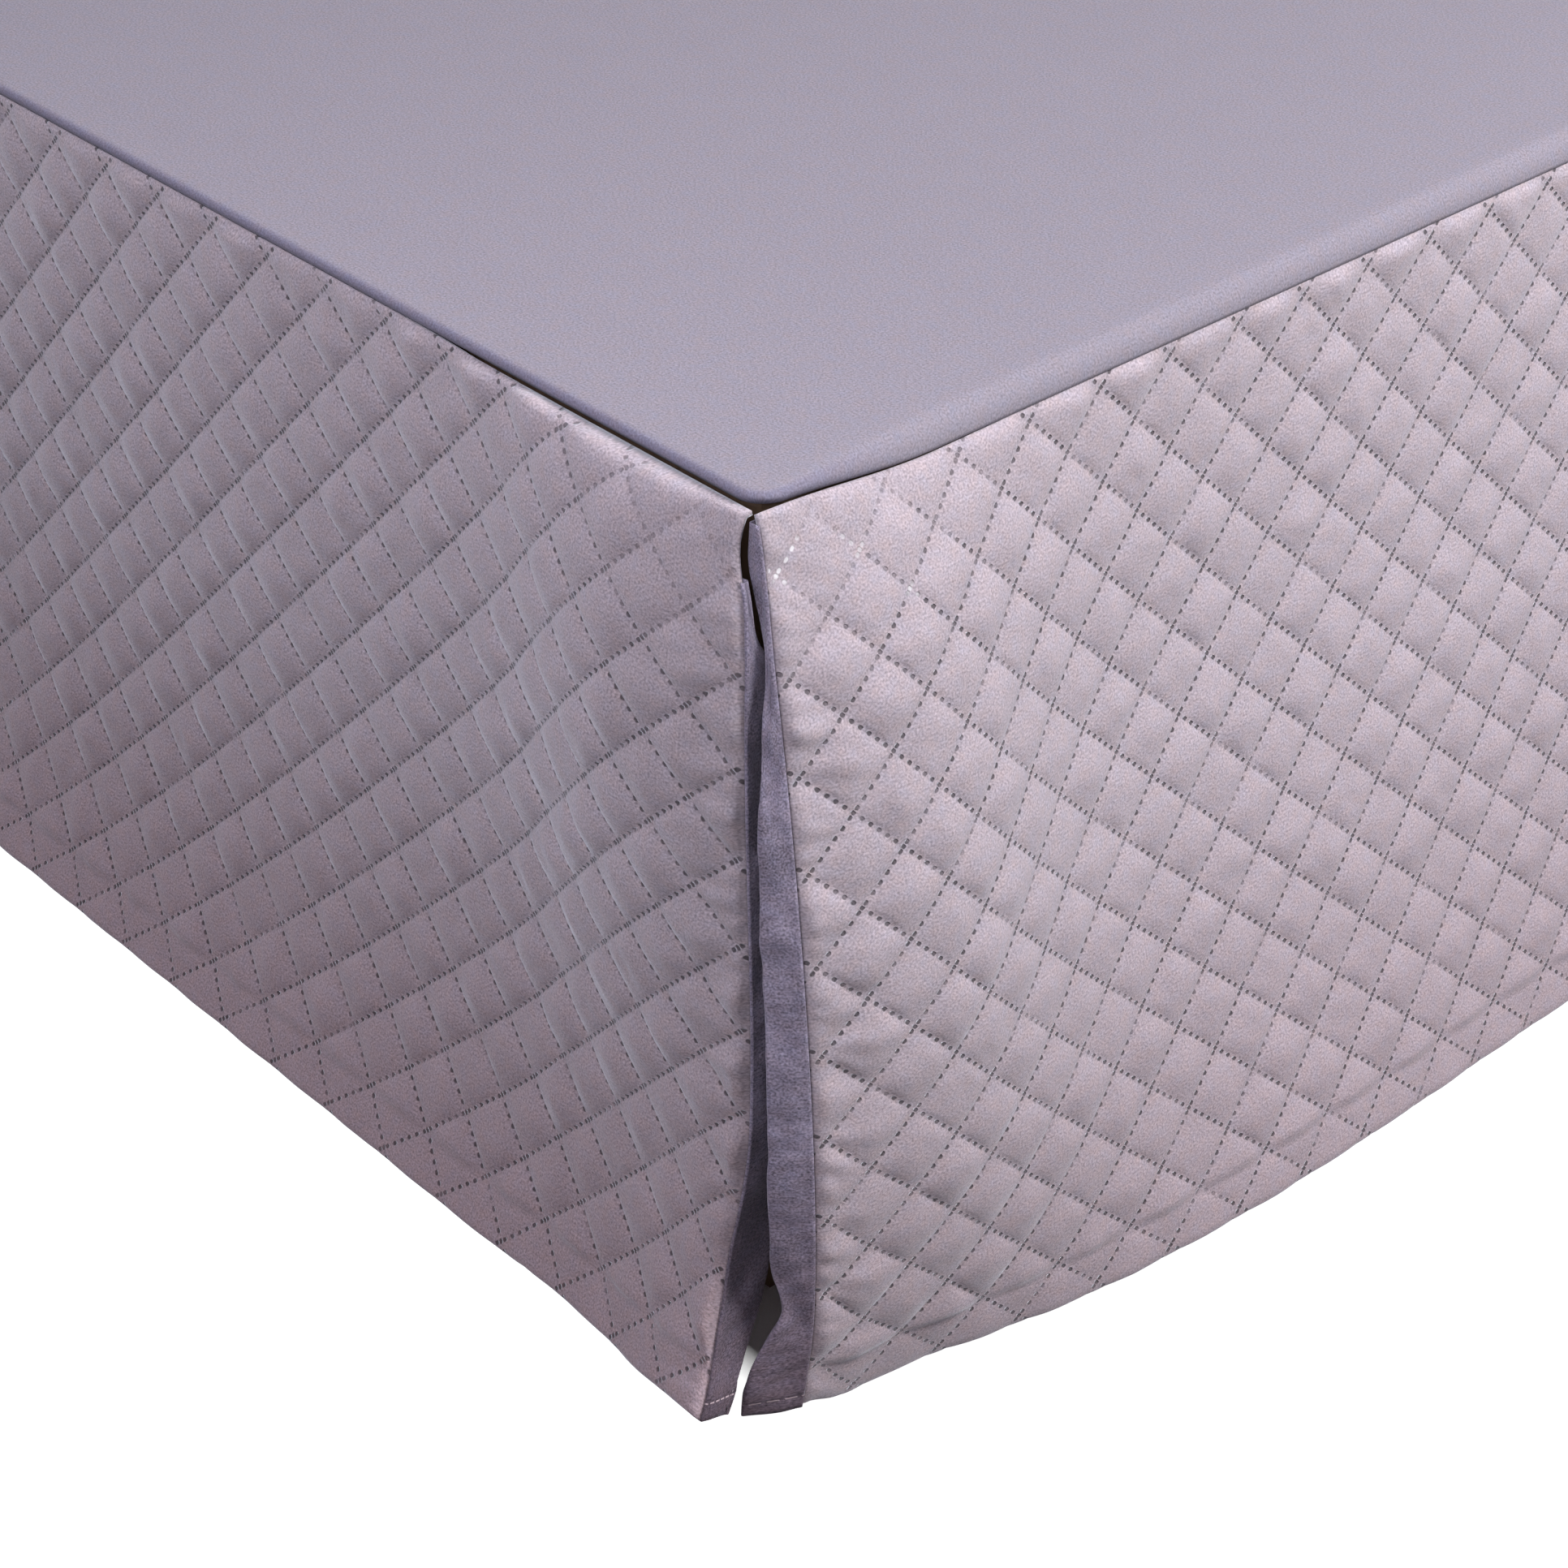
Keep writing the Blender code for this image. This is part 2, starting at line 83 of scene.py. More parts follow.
def node(tree, kind, sockets=(), **settings):
    """A shader node. sockets holds (input name or number, value or the socket that feeds it)."""
    made = tree.nodes.new(kind)
    for name, value in settings.items():
        setattr(made, name, value)
    for name, value in sockets:
        if isinstance(value, bpy.types.NodeSocket):
            tree.links.new(value, made.inputs[name])
        else:
            made.inputs[name].default_value = value
    return made


def maths(tree, operation, *values, clamp=False):
    """The result of one Math node."""
    return node(tree, "ShaderNodeMath", enumerate(values), operation=operation, use_clamp=clamp).outputs[0]


def mixed(tree, share, low, high):
    """A colour from low, where the share is 0, to high, where it is 1."""
    return node(tree, "ShaderNodeMix", [(0, share), (6, low), (7, high)], data_type="RGBA").outputs[2]


def split_up(tree, place):
    """The X, Y and Z sockets of a vector."""
    return node(tree, "ShaderNodeSeparateXYZ", [(0, place)]).outputs


studio = bpy.data.worlds.new("studio")
bpy.context.scene.world = studio
studio.use_nodes = True
tree = studio.node_tree
tree.nodes.clear()
way = split_up(tree, node(tree, "ShaderNodeTexCoord").outputs["Generated"])
upward = node(tree, "ShaderNodeMapRange", [(0, way[2]), (1, -0.1), (2, 0.1)]).outputs[0]
haze = mixed(tree, upward, (0.21, 0.19, 0.205, 1), (0.095, 0.090, 0.108, 1))  # brighter from below
sky = node(tree, "ShaderNodeBackground", [("Color", haze), ("Strength", 1.0)])
tree.links.new(sky.outputs[0], node(tree, "ShaderNodeOutputWorld").inputs["Surface"])

FLOOR_HALF = 9.0
floor_mesh = bpy.data.meshes.new("floor")
corners = [(-1, -1), (1, -1), (1, 1), (-1, 1)]
floor_mesh.from_pydata([(FLOOR_HALF * x, FLOOR_HALF * y, 0) for x, y in corners], [], [(0, 1, 2, 3)])
floor = bpy.data.objects.new("floor", floor_mesh)
bpy.context.collection.objects.link(floor)

# To the camera the floor is white and glows. To every other ray it is black with a dim glow, so the
# light that it gives the cloth is set by that glow alone. Under the bed it doesn't glow.
UNDER_BED = (0.490, 0.912)  # half the width and half the length of the floor that doesn't glow
GLOW_FADE = 0.015  # the band around it in which the glow comes up
pale = bpy.data.materials.new("pale_floor")
pale.use_nodes = True
tree, shader = pale.node_tree, pale.node_tree.nodes["Principled BSDF"]
shader.inputs["Roughness"].default_value = 0.9
seen = node(tree, "ShaderNodeLightPath").outputs["Is Camera Ray"]
for socket, unseen_colour, seen_colour in (
    ("Base Color", (0, 0, 0, 1), (0.93, 0.93, 0.92, 1)),
    ("Emission Color", (0.145, 0.125, 0.130, 1), (1.0, 1.0, 1.0, 1)),
):
    tree.links.new(mixed(tree, seen, unseen_colour, seen_colour), shader.inputs[socket])
place = split_up(tree, node(tree, "ShaderNodeTexCoord").outputs["Object"])
past = [maths(tree, "SUBTRACT", maths(tree, "ABSOLUTE", place[axis]), UNDER_BED[axis]) for axis in (0, 1)]
past_bed = maths(tree, "MAXIMUM", *past)
glow = node(tree, "ShaderNodeMapRange", [(0, past_bed), (1, 0.0), (2, GLOW_FADE)]).outputs[0]
tree.links.new(glow, shader.inputs["Emission Strength"])
floor_mesh.materials.append(pale)

# --------------------------------------
# The deck: one plain brushed twill over the base's top, pulled flat, and rolled
# over its edges down to the seams. At the foot the roll is a tight bead; along
# the sides it is broader, and the seam lies a little lower.
# --------------------------------------
WIDTH = 0.991  # between the side seams
LENGTH = 1.905  # foot seam to head edge
FOOT_Y = -0.9212
SEAM_Z = 0.387
SIDE_LOWER = 0.006  # the side seams, under the foot seam
SIDE_EASE = 0.080  # the length over which they come down from the corner
PLAIN = 0.0012  # thickness of plain cloth
LIP = 0.0045  # the deck's top over the foot seam


def smooth(t):
    """0 to 1 with soft ends."""
    t = np.clip(t, 0, 1)
    return t * t * (3 - 2 * t)


def bell(t):
    """A soft hump, 1 at 0, of width about 1."""
    return np.exp(-(t**2))


def soft_noise(x, y, size, seed):
    """Smooth noise from about -1 to 1: random heights at the points of a square lattice of the given
    size, joined with soft steps in both directions. The lattice repeats after so many points."""
    across, along = 61, 59
    heights = np.random.default_rng(seed).uniform(-1, 1, (across, along))
    gx, gy = x / size + 1000, y / size + 1000
    ix, iy = np.floor(gx).astype(int), np.floor(gy).astype(int)
    fx, fy = smooth(gx - ix), smooth(gy - iy)
    ix, iy, next_x, next_y = ix % across, iy % along, (ix + 1) % across, (iy + 1) % along
    near = heights[ix, iy] * (1 - fx) + heights[next_x, iy] * fx
    far = heights[ix, next_y] * (1 - fx) + heights[next_x, next_y] * fx
    return near * (1 - fy) + far * fy


def crease(x, y, start, end, width, height):
    """A soft straight fold from start to end: a hump across it, fading at both ends."""
    run = np.subtract(end, start)
    length = np.hypot(*run)
    along = ((x - start[0]) * run[0] + (y - start[1]) * run[1]) / length**2
    off = ((x - start[0]) * run[1] - (y - start[1]) * run[0]) / length
    return height * bell(off / width) * smooth(along / 0.3) * smooth((1 - along) / 0.3)


def cloth_piece(name, points, faces, flat, material, marks):
    """A cloth mesh from its points, lists of faces (each an array of equal-sided faces), and each
    point's place on the flat cloth, kept as the UV map. marks are more values, one for each point."""
    mesh = bpy.data.meshes.new(name)
    sides = np.concatenate([np.full(len(group), group.shape[1]) for group in faces])
    loops = np.concatenate([group.ravel() for group in faces])
    mesh.vertices.add(len(points))
    mesh.vertices.foreach_set("co", points.ravel())
    mesh.loops.add(len(loops))
    mesh.loops.foreach_set("vertex_index", loops)
    mesh.polygons.add(len(sides))
    mesh.polygons.foreach_set("loop_start", np.cumsum(sides) - sides)
    mesh.polygons.foreach_set("loop_total", sides)
    mesh.polygons.foreach_set("use_smooth", np.ones(len(sides), bool))
    mesh.uv_layers.new(name="flat_cloth").data.foreach_set("uv", flat[loops].ravel())
    for mark, values in marks.items():
        mesh.attributes.new(mark, "FLOAT", "POINT").data.foreach_set("value", values.ravel())
    mesh.update(calc_edges=True)
    mesh.validate()
    mesh.materials.append(material)
    piece = bpy.data.objects.new(name, mesh)
    bpy.context.collection.objects.link(piece)
    return piece


def grid_faces(rows, columns):
    """The four-sided faces of a grid whose points are numbered row by row."""
    index = np.arange(rows * columns).reshape(rows, columns)
    corners = (index[:-1, :-1], index[1:, :-1], index[1:, 1:], index[:-1, 1:])
    return np.stack([c.ravel() for c in corners], -1)


def thicken(piece, thickness):
    """Gives a single surface its cloth's thickness, inwards."""
    wall = piece.modifiers.new("thickness", "SOLIDIFY")
    wall.thickness = thickness
    wall.offset = -1
    wall.use_even_offset = False


def effect_group(name, inputs, outputs):
    """A shader node group with named float or vector sockets."""
    group = bpy.data.node_groups.new(name, "ShaderNodeTree")
    for socket, kind in inputs:
        group.interface.new_socket(socket, in_out="INPUT", socket_type=kind)
    for socket, kind in outputs:
        group.interface.new_socket(socket, in_out="OUTPUT", socket_type=kind)
    return group, group.nodes.new("NodeGroupInput").outputs, group.nodes.new("NodeGroupOutput").inputs


def noise(tree, place, scale, detail):
    """A noise texture's value, from 0 to 1."""
    sockets = [("Vector", place), ("Scale", scale), ("Detail", detail)]
    return node(tree, "ShaderNodeTexNoise", sockets).outputs[0]


def tinted(tree, colour, tint):
    """A colour multiplied by another, or by a plain value."""
    return node(tree, "ShaderNodeVectorMath", [(0, colour), (1, tint)], operation="MULTIPLY").outputs[0]


def mark_value(tree, mark):
    """The value of one of a piece's marks."""
    return node(tree, "ShaderNodeAttribute", attribute_name=mark).outputs["Fac"]


# Fine twill: slanting ribs one thread apart, broken by the threads that cross them and by soft noise.
RIB_SHADE, THREAD_SHADE = 0.32, 0.18
twill, given, made = effect_group(
    "fine_twill",
    [("Cloth", "NodeSocketVector"), ("Thread", "NodeSocketFloat")],
    [("Shade", "NodeSocketFloat"), ("Height", "NodeSocketFloat")],
)
place = split_up(twill, given["Cloth"])
turns = maths(twill, "DIVIDE", 2 * math.pi, given["Thread"])
bent = maths(twill, "MULTIPLY", noise(twill, given["Cloth"], 260.0, 2.0), 5.0)
slant = maths(twill, "MULTIPLY", maths(twill, "ADD", place[0], place[1]), turns)
cross = maths(twill, "MULTIPLY", maths(twill, "SUBTRACT", place[0], place[1]), turns)
rib = maths(twill, "SINE", maths(twill, "ADD", slant, bent))
thread = maths(twill, "SINE", maths(twill, "ADD", maths(twill, "MULTIPLY", cross, 2.0), bent))
rib, thread = maths(twill, "MULTIPLY", rib, RIB_SHADE), maths(twill, "MULTIPLY", thread, THREAD_SHADE)
weave = maths(twill, "ADD", rib, thread)
twill.links.new(weave, made["Shade"])
twill.links.new(maths(twill, "ADD", weave, 0.5), made["Height"])

# Brushed nap: fine mottling, broader soft patches, and a drift between a bluer and a pinker grey.
nap, given, made = effect_group(
    "brushed_nap",
    [("Cloth", "NodeSocketVector")],
    [("Fine", "NodeSocketFloat"), ("Patch", "NodeSocketFloat"), ("Drift", "NodeSocketFloat")],
)
for socket, scale, detail, moved in (
    ("Fine", 1150.0, 2.0, 0.0),
    ("Patch", 52.0, 3.0, 4.0),
    ("Drift", 190.0, 3.0, 9.0),
):
    place = node(nap, "ShaderNodeVectorMath", [(0, given["Cloth"]), (1, (moved,) * 3)], operation="ADD")
    nap.links.new(maths(nap, "SUBTRACT", noise(nap, place.outputs[0], scale, detail), 0.5), made[socket])

BLUER, PINKER = (0.965, 1.0, 1.05), (1.04, 0.985, 0.95)  # the ends of the nap's drift
COOL = (0.86, 0.92, 1.0, 1)  # the sheen's tint


def cloth_material(name, colour, thread, depth, weave, patch, fine, sheen):
    """A brushed twill: its colour drifts from bluer to pinker and varies with the weave, the patches
    and the fine mottling, each by its own strength; its threads are thread wide and raised by depth.
    Gives the material, its tree, and the sockets of the flat cloth's place, colour and height."""
    cloth = bpy.data.materials.new(name)
    cloth.use_nodes = True
    tree = cloth.node_tree
    shader = tree.nodes["Principled BSDF"]
    for socket, value in (
        ("Roughness", 0.92),
        ("Specular IOR Level", 0.25),
        ("Sheen Weight", sheen),
        ("Sheen Roughness", 0.35),
        ("Sheen Tint", COOL),
    ):
        shader.inputs[socket].default_value = value
    flat = node(tree, "ShaderNodeUVMap", uv_map="flat_cloth").outputs[0]
    ribs = node(tree, "ShaderNodeGroup", node_tree=twill)
    tree.links.new(flat, ribs.inputs["Cloth"])
    ribs.inputs["Thread"].default_value = thread
    fuzz = node(tree, "ShaderNodeGroup", node_tree=nap)
    tree.links.new(flat, fuzz.inputs["Cloth"])
    drift = maths(tree, "MULTIPLY_ADD", fuzz.outputs["Drift"], 2.2, 0.5, clamp=True)
    blue, pink = ((*[c * s for c, s in zip(colour, shift)], 1) for shift in (BLUER, PINKER))
    light = maths(tree, "MULTIPLY_ADD", ribs.outputs["Shade"], weave, 1.0)
    light = maths(tree, "MULTIPLY_ADD", fuzz.outputs["Patch"], patch, light)
    light = maths(tree, "MULTIPLY_ADD", fuzz.outputs["Fine"], fine, light)
    shade = tinted(tree, mixed(tree, drift, blue, pink), light)
    height = maths(tree, "MULTIPLY_ADD", fuzz.outputs["Fine"], 1.2, ribs.outputs["Height"])
    return cloth, tree, flat, shade, maths(tree, "MULTIPLY", height, depth)


def finish_cloth(tree, colour, height):
    """Joins a cloth's colour and its height, in metres, to its shader."""
    shader = tree.nodes["Principled BSDF"]
    tree.links.new(colour, shader.inputs["Base Color"])
    bump = node(tree, "ShaderNodeBump", [("Height", height), ("Distance", 1.0), ("Strength", 1.0)])
    tree.links.new(bump.outputs[0], shader.inputs["Normal"])


WHITE = (1, 1, 1, 1)
ROLL_SHADE = (0.78, 0.79, 0.90, 1)  # painted shade: the foot's roll darker and bluer
deck_cloth, tree, flat, colour, height = cloth_material(
    "deck_twill", (0.277, 0.260, 0.305), thread=0.00060, depth=0.00003, weave=0.10, patch=0.06,
    fine=1.2, sheen=0.12,
)
# The foot's roll is darker and bluer: painted shade.
finish_cloth(tree, tinted(tree, colour, mixed(tree, mark_value(tree, "edge"), WHITE, ROLL_SHADE)), height)

BEAD_RUN = 0.012  # how far from its edges the deck is rolled
FOOT_IN = 0.0056  # the foot's roll, from its seam in to the flat
FOOT_STEEP = 0.62  # under 1: it stands up steeply from the seam and turns tightly on to the flat
FOOT_TUCK = 0.0010  # its lowest part, drawn back
SIDE_IN = 0.0095  # a side's roll, the quarter of an ellipse


def deck_section(depth):
    """The roll in section, at a depth of 0 to BEAD_RUN from the edge: how far in from the seam and
    the share of its height, at the foot and then at a side."""
    t = np.clip(depth / BEAD_RUN, 0, 1)
    turn = t * np.pi / 2
    foot_in = FOOT_IN * (1 - np.cos(turn) ** FOOT_STEEP) + FOOT_TUCK * bell(t / 0.10)
    return foot_in, np.sin(turn) ** FOOT_STEEP, SIDE_IN * (1 - np.cos(turn)), np.sin(turn)


def run_lengths(points, axis):
    """The cloth's length along one axis of a grid of points, from the middle line."""
    steps = np.linalg.norm(np.diff(points, axis=axis), axis=-1)
    run = np.insert(np.cumsum(steps, axis=axis), 0, 0, axis=axis)
    return run - run.take([run.shape[axis] // 2], axis=axis)


EASED = (0.002, 0.005, 0.009, 0.014)  # grid lines past the roll, between its close ones and the even ones
EVEN_FROM = 0.032  # where the even ones start


def deck_lines(length, even_lines):
    """The deck's grid lines over a length: close on the two rolls, then wider, then even."""
    rolled = np.linspace(0, BEAD_RUN, 13)
    eased = BEAD_RUN + np.array(EASED)
    inner = np.linspace(EVEN_FROM, length - EVEN_FROM, even_lines)
    return np.concatenate([rolled, eased, inner, length - eased[::-1], length - rolled[::-1]])


DECK_SWELLS = ((0.11, 0.0003, 3), (0.035, 0.00012, 4))  # size, height, seed of the flat's unevenness
DECK_CREASES = (  # from, to, width, height
    ((0.10, -0.62), (0.02, -0.55), 0.006, 0.0004),
    ((0.20, -0.50), (0.05, -0.42), 0.008, 0.0004),
    ((-0.10, -0.70), (-0.32, -0.60), 0.009, 0.0005),
    ((0.30, -0.30), (0.10, -0.10), 0.010, 0.0005),
)


def deck_surface():
    """The deck on a grid of lines across and along the bed. Near an edge the distance from it is a
    depth, which the section turns into an inset and a height; in a corner's square the lines of equal
    depth are turned into round ones. Creases and a soft unevenness lie on the flat top. Gives the
    points, their places on the flat cloth, and how much of the foot's roll each is."""
    xs, ys = deck_lines(WIDTH, 118) - WIDTH / 2, deck_lines(LENGTH, 196)
    x, y = np.meshgrid(xs, ys, indexing="ij")
    from_side, from_end = WIDTH / 2 - np.abs(x), np.minimum(y, LENGTH - y)
    depth = np.minimum(from_side, from_end)
    foot_in, foot_rise, side_in, side_rise = deck_section(depth)
    at_side = (from_side <= from_end) * smooth(from_end / SIDE_EASE)
    inset = foot_in * (1 - at_side) + side_in * at_side
    rise = foot_rise * (1 - at_side) + side_rise * at_side
    low, top = SEAM_Z - SIDE_LOWER * at_side, SEAM_Z + LIP
    z = np.where(depth < BEAD_RUN, low + (top - low) * rise, top)

    # In a corner's square the way from its inner corner out to the point sets the angle of the turn.
    out_side, out_end = (BEAD_RUN - from_side) / BEAD_RUN, (BEAD_RUN - from_end) / BEAD_RUN
    corner = (out_side > 0) & (out_end > 0)
    out_side, out_end = np.maximum(out_side, 1e-9), np.maximum(out_end, 1e-9)
    near_side, near_end = np.pi / 4 * out_end / out_side, np.pi / 2 - np.pi / 4 * out_side / out_end
    turn = np.where(out_side >= out_end, near_side, near_end)
    straight_x = np.where((from_side < BEAD_RUN) & (from_side <= from_end), WIDTH / 2 - inset, np.abs(x))
    straight_y = np.where((from_end < BEAD_RUN) & (from_end < from_side), inset, from_end)
    round_x = WIDTH / 2 - BEAD_RUN + (BEAD_RUN - inset) * np.cos(turn)
    round_y = BEAD_RUN - (BEAD_RUN - inset) * np.sin(turn)
    x = np.sign(x) * np.where(corner, round_x, straight_x)
    in_from_end = np.where(corner, round_y, straight_y)
    y = np.where(y < LENGTH / 2, in_from_end, LENGTH - in_from_end) + FOOT_Y

    inside = smooth((depth - BEAD_RUN) / 0.03)
    for size, high, seed in DECK_SWELLS:
        z = z + inside * high * (1 + soft_noise(x, y, size, seed))
    for start, end, width, high in DECK_CREASES:
        z = z + inside * crease(x, y, start, end, width, high)
    # How much of the foot roll's painted shade each point takes
    edge = (1 - at_side) * smooth((0.85 - depth / BEAD_RUN) / 0.35)
    points = np.stack([x, y, z], -1)
    return points, np.stack([run_lengths(points, 0), run_lengths(points, 1)], -1), edge


points, flat, edge = deck_surface()
faces = [grid_faces(*edge.shape)]
deck = cloth_piece("deck_top", points.reshape(-1, 3), faces, flat.reshape(-1, 2), deck_cloth, {"edge": edge})
thicken(deck, PLAIN)
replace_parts(deck, "deck")
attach(deck, "root")

# --------------------------------------
# The drops: two layers of brushed microfibre and a thin filling, pressed
# together in dashes along slanting lines so that each diamond stands up as a
# small pillow. Each hangs from its seam, swings out at the hem, and is hemmed.
# --------------------------------------
DROP = 0.376  # seam to hem
HEM = 0.020  # turned-up hem
PITCH = 0.03667  # diamond, point to point
HALF = PITCH / 2
QUILTED = 0.0022  # thickness at a pressed line
PUFF = 0.0025  # a diamond's middle over its lines
GAP = 0.0003  # between sewn pieces
HEAD_SHORT = 0.004  # a side drop stops this far before the head edge
FOOT_PAST, SIDE_PAST = 0.0018, 0.0074  # how far a drop's cloth runs on past a split corner

# How a drop falls at a split corner, one row for each end, as in the bed skirt's solids.
#   ease, room: its cloth past the corner, and where its edge lies at the seam before the shifts
#   tip, tip_run, tip_curve: how far the hem stands out, the length over which that fades, and the
#     power by which it grows down the drop
#   puff, puff_at, puff_run, puff_rise: a soft fold: how far it stands out, its distance from the
#     edge, its width, and the power that sets how high up it is fullest
#   low, low_fall, run: how far the lower cloth is pushed along, and the height and length of that
#   lift, lift_run: how much the hem's corner is raised, and over what length
#   shifts: for heights down the end, how far its edge alone is drawn back, over SHIFT_RUN
ENDS = {
    "foot_right": dict(
        ease=FOOT_PAST, room=-0.0022, tip=0.0588, tip_run=0.0507, tip_curve=1.78, puff=0.0219, puff_at=0.060,
        puff_run=0.0691, puff_rise=0.485, low=-0.0421, low_fall=0.459, run=0.302, lift=0.0177, lift_run=0.041,
        shifts=((0, 0.0055), (0.014, 0.0068), (0.019, 0.0068), (0.030, 0.001), (0.055, -0.001), (0.26, 0),
                (0.31, 0.0048), (0.345, 0.0005), (0.376, -0.0080)),
    ),
    "foot_left": dict(
        ease=FOOT_PAST, room=-0.0022, tip=0.0520, tip_run=0.0600, tip_curve=2.10, puff=0.0190, puff_at=0.055,
        puff_run=0.0800, puff_rise=0.560, low=-0.0350, low_fall=0.420, run=0.280, lift=0.0120, lift_run=0.050,
        shifts=((0, 0.0055), (0.040, 0.0010), (0.20, 0), (0.30, 0.0020), (0.376, -0.0040)),
    ),
    "side_right": dict(
        ease=SIDE_PAST, room=-0.0022, tip=0.0391, tip_run=0.1448, tip_curve=3.78, puff=0.0247, puff_at=0.060,
        puff_run=0.0718, puff_rise=0.740, low=-0.0054, low_fall=0.221, run=0.056, lift=0.010, lift_run=0.013,
        shifts=((0, 0.0018), (0.020, 0.0014), (0.050, 0), (0.33, 0), (0.376, -0.0025)),
    ),
    "side_left": dict(
        ease=SIDE_PAST, room=-0.0022, tip=0.0440, tip_run=0.1300, tip_curve=3.40, puff=0.0210, puff_at=0.070,
        puff_run=0.0900, puff_rise=0.800, low=-0.0040, low_fall=0.200, run=0.070, lift=0.0060, lift_run=0.020,
        shifts=((0, 0.0018), (0.020, 0.0014), (0.050, 0), (0.376, 0)),
    ),
}
SHIFT_RUN = 0.022

# The three drops, one row each.
#   length, starts, stops: along the seam, and the split ends that it starts and stops at
#   swing, far_swing, curve, ripple: how far the hem stands out near its start and far along, the
#     power by which that grows down the drop, and the hem's soft waves far along
#   first_line, first_row: where pressed lines cross, along and down
#   reads, outward: 1 if it reads left to right from outside, -1 if right to left; the way it faces
#   plump, hem_shade: how full its pillows are, and how much painted shade darkens it toward the hem
#   calm_along, calm_down: the area at its first corner where the dashes are pressed weakly
DROPS = {
    "foot": dict(
        length=WIDTH, starts="foot_right", stops="foot_left", swing=0.0411, far_swing=0.0411, curve=5.6,
        ripple=0.0, first_line=0.0200, first_row=0.0061, reads=-1, outward=(0, -1, 0), seed=11, plump=1.20,
        hem_shade=1.0, calm_along=0.075, calm_down=0.050,
    ),
    "side_right": dict(
        length=LENGTH, starts="side_right", stops=None, swing=0.0750, far_swing=0.0480, curve=1.66,
        ripple=0.004, first_line=0.0150, first_row=0.0049, reads=1, outward=(1, 0, 0), seed=23, plump=1.0,
        hem_shade=0.5, calm_along=0.085, calm_down=0.050,
    ),
    "side_left": dict(
        length=LENGTH, starts="side_left", stops=None, swing=0.0750, far_swing=0.0450, curve=1.66,
        ripple=0.004, first_line=0.0240, first_row=0.0110, reads=-1, outward=(-1, 0, 0), seed=37, plump=1.0,
        hem_shade=0.5, calm_along=0.060, calm_down=0.040,
    ),
}


def read_rows(rows, v, column=1):
    """A value read at v from rows of (height down, values), with the corners between them rounded."""
    rows = np.array(rows)
    return sum(np.interp(v + shift, rows[:, 0], rows[:, column]) for shift in 0.004 * np.arange(-2, 3)) / 5


def ends_of(drop, u):
    """For each split end of a drop: the way its cloth is pushed, its row, and the distance from it."""
    start = ENDS[drop["starts"]]
    yield 1, start, np.maximum(u + start["ease"], 0)
    if drop["stops"]:
        stop = ENDS[drop["stops"]]
        yield -1, stop, np.maximum(drop["length"] + stop["ease"] - u, 0)


def swing_out(drop, u, v):
    """How far cloth point (u along, v down) stands out from the seam's plane: the hem's flare, which
    grows as a power of the way down, its change at a split end, which grows by its own power, and a
    soft bell-shaped fold beside each split corner."""
    t = np.maximum(v / DROP, 0)
    flare = drop["swing"] + (drop["far_swing"] - drop["swing"]) * smooth((u - 0.7) / 1.1)
    flare = flare + drop["ripple"] * np.sin(14.5 * u + 1) * smooth((u - 0.45) / 0.3)
    out = flare * t ** drop["curve"]
    for _, end, away in ends_of(drop, u):
        out = out + (end["tip"] - drop["swing"]) * bell(away / end["tip_run"]) * t ** end["tip_curve"]
        rise = np.sin(np.pi * t ** end["puff_rise"])
        out = out + end["puff"] * bell((away - end["puff_at"]) / end["puff_run"]) * rise
    return out


def along_seam(drop, u, v):
    """Place along the seam: the cloth's own length, drawn back or let out at each split end."""
    x = u + 0 * v
    for way, end, away in ends_of(drop, u):
        at_seam = end["ease"] + end["room"]
        push = end["low"] + (at_seam - end["low"]) * bell(v / end["low_fall"])
        x = x + way * push * bell(away / end["run"])
        x = x + way * read_rows(end["shifts"], v) * bell(away / SHIFT_RUN)
    return x


STEPS_DOWN = 95  # points down the cloth at which its fall is added up
LEAST_FALL = 0.3  # the least share of a step that goes down


def hung(drop, us, vs):
    """Along, out and up at each crossing of us and vs. Each small step down the cloth keeps its
    length, so what goes out doesn't go down."""
    fine = np.linspace(0, DROP, STEPS_DOWN)
    step = fine[1]
    out = swing_out(drop, us[:, None], fine[None, :])
    down = np.sqrt(np.maximum(step**2 - np.diff(out, axis=1) ** 2, (LEAST_FALL * step) ** 2))
    depth = np.concatenate([np.zeros((len(us), 1)), np.cumsum(down, axis=1)], axis=1)
    z = -np.array([np.interp(vs, fine, column) for column in depth])
    for _, end, away in ends_of(drop, us):
        z += (end["lift"] * bell(away / end["lift_run"]))[:, None] * (vs[None, :] / DROP) ** 3
    return along_seam(drop, us[:, None], vs[None, :]), swing_out(drop, us[:, None], vs[None, :]), z


def placed(side, x, out, z):
    """A drop's along, out and up in the bed's frame. The foot drop starts at the +X corner."""
    if side == "foot":
        return np.stack([WIDTH / 2 - x, FOOT_Y - out, SEAM_Z - GAP + z], -1)
    sign = 1 if side == "side_right" else -1
    lower = SIDE_LOWER * smooth(x / SIDE_EASE)
    return np.stack([sign * (WIDTH / 2 + out), FOOT_Y + x, SEAM_Z - GAP - lower + z], -1)


def unit_normals(points, outward):
    """Unit normals of a grid of points, facing outward."""
    n = np.cross(np.gradient(points, axis=0), np.gradient(points, axis=1))
    n = n / np.linalg.norm(n, axis=-1, keepdims=True)
    return n * np.sign((n @ np.array(outward)).mean())


LEAST_FULL, MOST_FULL = 0.72, 1.22  # a pillow's own share of PUFF
OWN_CELLS = (97, 89)  # the pillows repeat after so many
ROUND = 0.62  # the power that rounds a pillow
SLACK = 0.20  # how much its wrinkles change it
HEM_PRESS = 0.62  # how much the hem's sewing flattens the pillows


